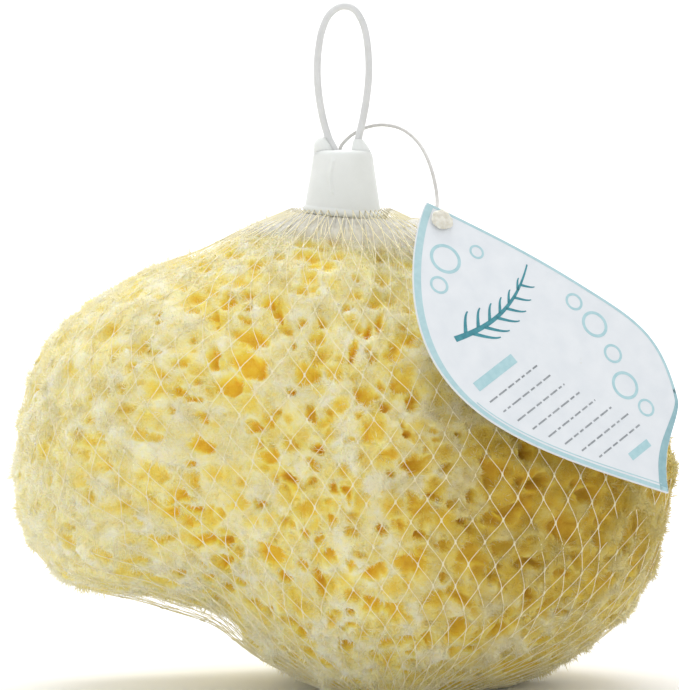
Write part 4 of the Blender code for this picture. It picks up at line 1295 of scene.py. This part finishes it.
def edgeRun(share, which, inset, half):
    # a ribbon that follows an edge of the card, its own middle this far inside it
    along = (share - 0.5) * card["length"]
    edge = cardEdges(share)[which]
    way = unit(np.stack([-np.gradient(edge), np.gradient(along)], axis=1))
    inward = (inset + half) * (1 if which == 0 else -1)
    return along + way[:, 0] * inward, edge + way[:, 1] * inward, half


def sprigRuns():
    # a branching sea plant: a bent stem with tapering fronds on both sides
    span = np.linspace(0, 1, 40)
    foot, length = np.array((-0.0150, -0.0240)), 0.0350
    stem = np.stack([foot[0] - 0.0012 + 0.0042 * np.sin(2.2 * span), foot[1] + length * span], axis=1)
    stem[:, 0] -= 0.0075 * span**2
    runs = [(stem[:, 0], stem[:, 1], 0.00085 * (1 - 0.75 * span))]
    for number in range(12):
        start = stem[4 + int(2.6 * number)]
        side = 1 if number % 2 else -1
        size = (0.0094 - 0.00046 * number) * (1.0 if number % 2 else 0.8)
        part = np.linspace(0, 1, 16)
        across = start[1] + size * (0.85 * part - 0.10 * part**3)
        along = start[0] + side * size * (0.62 * np.sin(1.5 * part))
        runs.append((along, across, 0.00060 * (1 - 0.7 * part) * (1 - 0.03 * number)))
    return runs


def makePrint():
    # the coloured edges, the sprig, rings and bands, and dashed rules between the two edges
    whole = (1 - np.cos(math.pi * np.linspace(0.03, 0.97, 110))) / 2
    margin = 0.00028
    left = edgeRun(whole, 0, margin, ink["left edge"] / 2 * (1 - 0.45 * easeBetween(0.25, 0.6, whole)))
    inner = edgeRun(whole[55:104], 0, 0.0019, 0.00014)
    upper = edgeRun(whole[:80], 1, 0.0001, ink["right edge"] / 2 * np.ones(80))
    edge = inkStrips("tag_print_edge", [left, inner, upper])
    # the printed border on the low tip, drawn wider and darker towards the tip; its darker teal is painted
    # shade where the card bends away from the light
    last = whole[78:]
    width = ink["right edge"] / 2 * (1 + 2.0 * easeBetween(0.80, 0.95, last))
    shadedTipEdge = inkStrips("tag_print_shaded_tip_edge", [edgeRun(last, 1, 0.0001, width)])
    sprig = inkStrips("tag_print_sprig", sprigRuns())

    ring = np.linspace(0, 2 * math.pi, 41)
    bubbles = [
        (a + r * np.cos(ring), b + r * np.sin(ring), w)
        for a, b, r, w in ink["bubbles"]
    ]
    bands = [
        (np.full(12, a), np.linspace(start, stop, 12), w)
        for a, start, stop, w in ink["bands"]
    ]
    aqua = inkStrips("tag_print_bubbles", bubbles + bands)

    rng = np.random.default_rng(5)
    count, first, step = ink["rules"]
    short, long, space = ink["dash"]
    rules = []
    for number in range(count):
        a = first + step * number
        low, high = cardEdges(np.array(a / card["length"] + 0.5))
        b, stop = low + 0.0050, min(low + 0.0250, high - 0.0165)
        while b < stop:
            dash = rng.uniform(short, long)
            rules.append((np.full(3, a), np.linspace(b, min(b + dash, stop), 3), ink["rule half"]))
            b += dash + space
    grey = inkStrips("tag_print_rules", rules)
    return edge, shadedTipEdge, sprig, aqua, grey


cardPiece = makeCard()
printPieces = makePrint()


# finishes

def tint(red, green, blue):
    # a screen colour of 0 to 255 as the shader's own linear numbers
    share = np.array((red, green, blue)) / 255
    linear = np.where(share > 0.04045, ((share + 0.055) / 1.055) ** 2.4, share / 12.92)
    return (*linear.tolist(), 1.0)


def makeGrainGroup():
    # one grain for every finish: noise on the piece's own metres, sharpened to a mask
    group = bpy.data.node_groups.new("fine grain", "ShaderNodeTree")
    for label, first in (("Scale", 1000.0), ("Detail", 3.0), ("Low", 0.35), ("High", 0.65)):
        socket = group.interface.new_socket(label, in_out="INPUT", socket_type="NodeSocketFloat")
        socket.default_value = first
    group.interface.new_socket("Grain", in_out="OUTPUT", socket_type="NodeSocketFloat")
    nodes, links = group.nodes, group.links
    given = nodes.new("NodeGroupInput")
    out = nodes.new("NodeGroupOutput")
    place = nodes.new("ShaderNodeTexCoord")
    noise = nodes.new("ShaderNodeTexNoise")
    spread = nodes.new("ShaderNodeMapRange")
    links.new(place.outputs["Object"], noise.inputs["Vector"])
    links.new(given.outputs["Scale"], noise.inputs["Scale"])
    links.new(given.outputs["Detail"], noise.inputs["Detail"])
    links.new(noise.outputs["Fac"], spread.inputs["Value"])
    links.new(given.outputs["Low"], spread.inputs["From Min"])
    links.new(given.outputs["High"], spread.inputs["From Max"])
    links.new(spread.outputs["Result"], out.inputs["Grain"])
    return group


grainGroup = makeGrainGroup()


class Tree:
    # short ways to add grain, an attribute, a ramp, a sum or a mix to a node tree

    def __init__(self, tree):
        self.nodes, self.links = tree.nodes, tree.links

    def feed(self, socket, value):
        # a colour or a number is set, anything else is joined
        if isinstance(value, tuple):
            socket.default_value = tint(*value)
        elif isinstance(value, (int, float)):
            socket.default_value = value
        else:
            self.links.new(value, socket)

    def grain(self, scale, low=0.35, high=0.65, detail=3.0):
        # 0 to 1 between two levels of the noise
        node = self.nodes.new("ShaderNodeGroup")
        node.node_tree = grainGroup
        for label, value in (("Scale", scale), ("Detail", detail), ("Low", low), ("High", high)):
            node.inputs[label].default_value = value
        return node.outputs["Grain"]

    def attribute(self, name):
        # a value that the piece's corners carry
        node = self.nodes.new("ShaderNodeAttribute")
        node.attribute_name = name
        return node.outputs["Fac"]

    def ramp(self, value, stops):
        # the colour between the two stops that the value lies between
        node = self.nodes.new("ShaderNodeValToRGB")
        marks = node.color_ramp.elements
        while len(marks) < len(stops):
            marks.new(0.5)
        for mark, (place, colour) in zip(marks, stops):
            mark.position = place
            mark.color = tint(*colour)
        self.links.new(value, node.inputs["Fac"])
        return node.outputs["Color"]

    def maths(self, kind, first, second):
        # a sum, difference or product of two values
        node = self.nodes.new("ShaderNodeMath")
        node.operation = kind
        for socket, value in zip(node.inputs, (first, second)):
            self.feed(socket, value)
        return node.outputs["Value"]

    def mix(self, share, first, second, blend="MIX"):
        # this share of the second colour over the first
        node = self.nodes.new("ShaderNodeMix")
        node.data_type, node.blend_type = "RGBA", blend
        for label, value in (("Factor_Float", share), ("A_Color", first), ("B_Color", second)):
            self.feed(next(s for s in node.inputs if s.identifier == label), value)
        return next(s for s in node.outputs if s.identifier == "Result_Color")


class Finish(Tree):
    # a material with its shader, which the tree's sockets are joined to

    def __init__(self, name, colour, roughness, **fixed):
        self.material = bpy.data.materials.new(name)
        self.material.use_nodes = True
        super().__init__(self.material.node_tree)
        self.shader = self.nodes["Principled BSDF"]
        self.shader.inputs["Base Color"].default_value = tint(*colour)
        self.shader.inputs["Roughness"].default_value = roughness
        for label, value in fixed.items():
            self.shader.inputs[label.replace("_", " ")].default_value = value

    def bump(self, height, strength, distance):
        # tilts the light's fall by the slope of the height
        node = self.nodes.new("ShaderNodeBump")
        node.inputs["Strength"].default_value = strength
        node.inputs["Distance"].default_value = distance
        self.links.new(height, node.inputs["Height"])
        self.links.new(node.outputs["Normal"], self.shader.inputs["Normal"])

    def colour(self, socket):
        # the socket gives the base colour
        self.links.new(socket, self.shader.inputs["Base Color"])

    def rough(self, socket, low, high):
        # the roughness runs from low to high as the socket runs from 0 to 1
        node = self.nodes.new("ShaderNodeMapRange")
        node.inputs["To Min"].default_value, node.inputs["To Max"].default_value = low, high
        self.links.new(socket, node.inputs["Value"])
        self.links.new(node.outputs["Result"], self.shader.inputs["Roughness"])

    def coat(self, scale, light, dark, rough=None, bump=None, spread=(0.3, 0.7)):
        # two shades mixed by one grain, the roughness by another and the bumps by a third
        self.colour(self.mix(self.grain(scale, *spread), light, dark))
        if rough:
            self.rough(self.grain(rough[0]), *rough[1:])
        if bump:
            self.bump(self.grain(*bump[0]), *bump[1:])

    def on(self, *pieces):
        # the only material of each piece
        for piece in pieces:
            piece.data.materials.clear()
            piece.data.materials.append(self.material)


def makeSpongeGroup():
    # colour by tone, from cream crests to amber holes, mottled by grain, and darkened by painted shade on
    # the low right side
    group = bpy.data.node_groups.new("sponge colour", "ShaderNodeTree")
    for label, kind in (("Colour", "NodeSocketColor"), ("Fine", "NodeSocketFloat")):
        group.interface.new_socket(label, in_out="OUTPUT", socket_type=kind)
    made = Tree(group)
    fine = made.grain(900, 0.3, 0.7, 4)
    tone = made.attribute("tone")
    coarse, broad = made.grain(240, 0.35, 0.65, 3), made.grain(70, 0.35, 0.65, 2)
    for grain, share in ((fine, 0.16), (coarse, 0.18), (broad, 0.12)):
        tone = made.maths("ADD", tone, made.maths("MULTIPLY", made.maths("SUBTRACT", grain, 0.4), share))
    colour = made.ramp(tone, (
        (0.00, (241, 236, 206)), (0.14, (242, 233, 180)), (0.32, (244, 229, 144)),
        (0.55, (246, 223, 104)), (0.78, (246, 214, 74)), (1.00, (243, 202, 56)),
    ))
    # painted shade: the low right side is multiplied darker and more olive
    colour = made.mix(made.attribute("glow"), colour, (202, 187, 127), "MULTIPLY")
    out = group.nodes.new("NodeGroupOutput")
    group.links.new(colour, out.inputs["Colour"])
    group.links.new(fine, out.inputs["Fine"])
    return group


def paintSponge():
    # flesh and fibres share their colours and the painted shade on the low right side; light goes deeper
    # into the flesh, and only it has bumps
    group = makeSpongeGroup()
    for name, pieces, weight, deep, bump in (
        ("sponge flesh", [spongePiece], 0.9, 0.006, 0.0003),
        ("sponge fibre", [tuftPiece, *fuzzPieces], 0.4, 0.002, 0),
    ):
        made = Finish(
            name, (230, 221, 175), 0.9, Subsurface_Weight=weight, Subsurface_Scale=deep,
            Subsurface_Radius=(1.0, 0.82, 0.34), Sheen_Weight=0.05, Sheen_Roughness=0.6,
        )
        node = made.nodes.new("ShaderNodeGroup")
        node.node_tree = group
        made.colour(node.outputs["Colour"])
        if bump:
            made.bump(made.maths("ADD", node.outputs["Fine"], made.grain(2200, 0.3, 0.7, 2)), 0.45, bump)
        made.on(*pieces)


def paintNet():
    # threads by grain, and the bunch the same but see-through by its haze
    made = Finish(
        "net thread", (243, 237, 215), 0.35, Subsurface_Weight=0.5, Subsurface_Scale=0.0006,
        Subsurface_Radius=(1.0, 0.95, 0.8),
    )
    made.coat(400, (244, 236, 205), (237, 224, 180), (3000, 0.28, 0.5))
    made.on(netPiece, netKnots, frayPiece, gatherPiece)
    haze = Finish(
        "bunched net", (251, 249, 240), 0.6, Subsurface_Weight=0.3, Subsurface_Scale=0.001,
        Subsurface_Radius=(1.0, 0.97, 0.9),
    )
    haze.coat(300, (252, 251, 246), (248, 245, 234))
    thick = haze.maths("ADD", haze.maths("MULTIPLY", haze.grain(700, 0.3, 0.7), 0.35), 0.80)
    haze.links.new(haze.maths("MULTIPLY", haze.attribute("haze"), thick), haze.shader.inputs["Alpha"])
    haze.on(bunchPiece)


def paintPlastic():
    # cap, loop, string and knot, each two near shades by grain
    made = Finish(
        "moulded plastic", (226, 229, 226), 0.38, Subsurface_Weight=0.25, Subsurface_Scale=0.003,
        Subsurface_Radius=(1.0, 1.0, 1.0),
    )
    bump = ((500, 0.2, 0.8, 2), 0.12, 0.0002)
    made.coat(120, (233, 236, 234), (226, 229, 226), (900, 0.32, 0.46), bump)
    made.on(capPiece)
    cord = Finish(
        "loop plastic", (222, 223, 223), 0.35, Subsurface_Weight=0.2, Subsurface_Scale=0.002,
        Subsurface_Radius=(1.0, 1.0, 1.0),
    )
    bump = ((800, 0.2, 0.8, 2), 0.10, 0.0001)
    cord.coat(260, (215, 216, 216), (204, 205, 205), (1400, 0.28, 0.44), bump)
    cord.on(loopPiece)
    strand = Finish("string plastic", (212, 209, 204), 0.4)
    strand.coat(700, (206, 205, 202), (192, 190, 186), (2000, 0.3, 0.5))
    strand.on(stringPiece)
    lump = Finish(
        "knot wax", (208, 203, 186), 0.45, Subsurface_Weight=0.3, Subsurface_Scale=0.001,
        Subsurface_Radius=(1.0, 0.9, 0.7),
    )
    bump = ((1500, 0.3, 0.7), 0.35, 0.00015)
    lump.coat(700, (228, 226, 216), (208, 204, 189), bump=bump, spread=(0.35, 0.65))
    lump.on(knotPiece)


def paintCard():
    # the card, and each colour of its print, two near shades by grain; the darker ink on the low tip's edge
    # is painted shade
    made = Finish("coated card", (232, 236, 242), 0.42)
    bump = ((2200, 0.3, 0.7), 0.06, 0.00005)
    made.coat(180, (223, 227, 231), (216, 221, 226), (1200, 0.36, 0.5), bump)
    made.on(cardPiece)
    shades = (
        ("edge ink", (177, 207, 212), (165, 199, 205)),
        # painted shade: the darker teal of the border at the low tip
        ("shaded tip edge ink", (148, 184, 191), (134, 173, 181)),
        ("sprig ink", (66, 146, 158), (44, 122, 136)),
        ("bubble ink", (174, 207, 213), (160, 198, 205)),
        ("rule ink", (158, 163, 167), (128, 134, 138)),
    )
    for piece, (name, light, dark) in zip(printPieces, shades):
        made = Finish(name, light, 0.4)
        made.coat(600, light, dark, (1500, 0.34, 0.5))
        made.on(piece)


paintSponge()
paintNet()
paintPlastic()
paintCard()


# the studio: a white floor that sweeps up behind, and soft white light from the upper left

studio = {
    "floor back": 2.2,         # where the level floor ends behind the sponge
    "floor round": 1.5,        # radius of the sweep between floor and wall
    "world": 0.95,
    "key": (1.4, (-1.3, -1.3, 1.5), 1.5, (0, 0, 0.08)),   # watts, place, side, aim
    "top": (1.2, (-0.2, 0.2, 1.9), 1.4, (0, 0, 0.08)),
    "backdrop": (84.0, (0.0, 1.4, 3.2), 2.2, (0, 3.4, 0.4)),
}


def makeStudio():
    # a level floor, a quarter round and a wall as one profile drawn across, then light
    back, sweep = studio["floor back"], studio["floor round"]
    turn = np.linspace(0.1, math.pi / 2, 14)
    profile = np.concatenate([
        np.stack([np.linspace(-3, back, 14), np.zeros(14)], axis=1),
        np.stack([back + sweep * np.sin(turn), sweep - sweep * np.cos(turn)], axis=1),
        np.stack([np.full(5, back + sweep), np.linspace(2, 6, 5)], axis=1),
    ])
    span = np.linspace(-6, 6, 13)
    points = np.array([(side, *place) for side in span for place in profile])
    number = np.arange(len(points)).reshape(13, -1)
    quads = gridFaces(number)
    mesh = bpy.data.meshes.new("floor")
    mesh.from_pydata(points.tolist(), [], quads.tolist())
    mesh.polygons.foreach_set("use_smooth", np.ones(len(quads), bool))
    floor = bpy.data.objects.new("floor", mesh)
    scene.collection.objects.link(floor)
    Finish("floor paper", (245, 245, 245), 0.9).on(floor)

    world = bpy.data.worlds.new("studio")
    world.use_nodes = True
    world.node_tree.nodes["Background"].inputs["Color"].default_value = (1, 1, 1, 1)
    world.node_tree.nodes["Background"].inputs["Strength"].default_value = studio["world"]
    scene.world = world
    for name in ("key", "top", "backdrop"):
        watts, place, side, aim = studio[name]
        lamp = bpy.data.lights.new(name, "AREA")
        lamp.energy, lamp.size, lamp.shape = watts, side, "SQUARE"
        made = bpy.data.objects.new(name, lamp)
        scene.collection.objects.link(made)
        made.location = place
        made.rotation_euler = (Vector(aim) - Vector(place)).to_track_quat("-Z", "Y").to_euler()
    scene.view_settings.view_transform = "Standard"


makeStudio()
print("studio made")
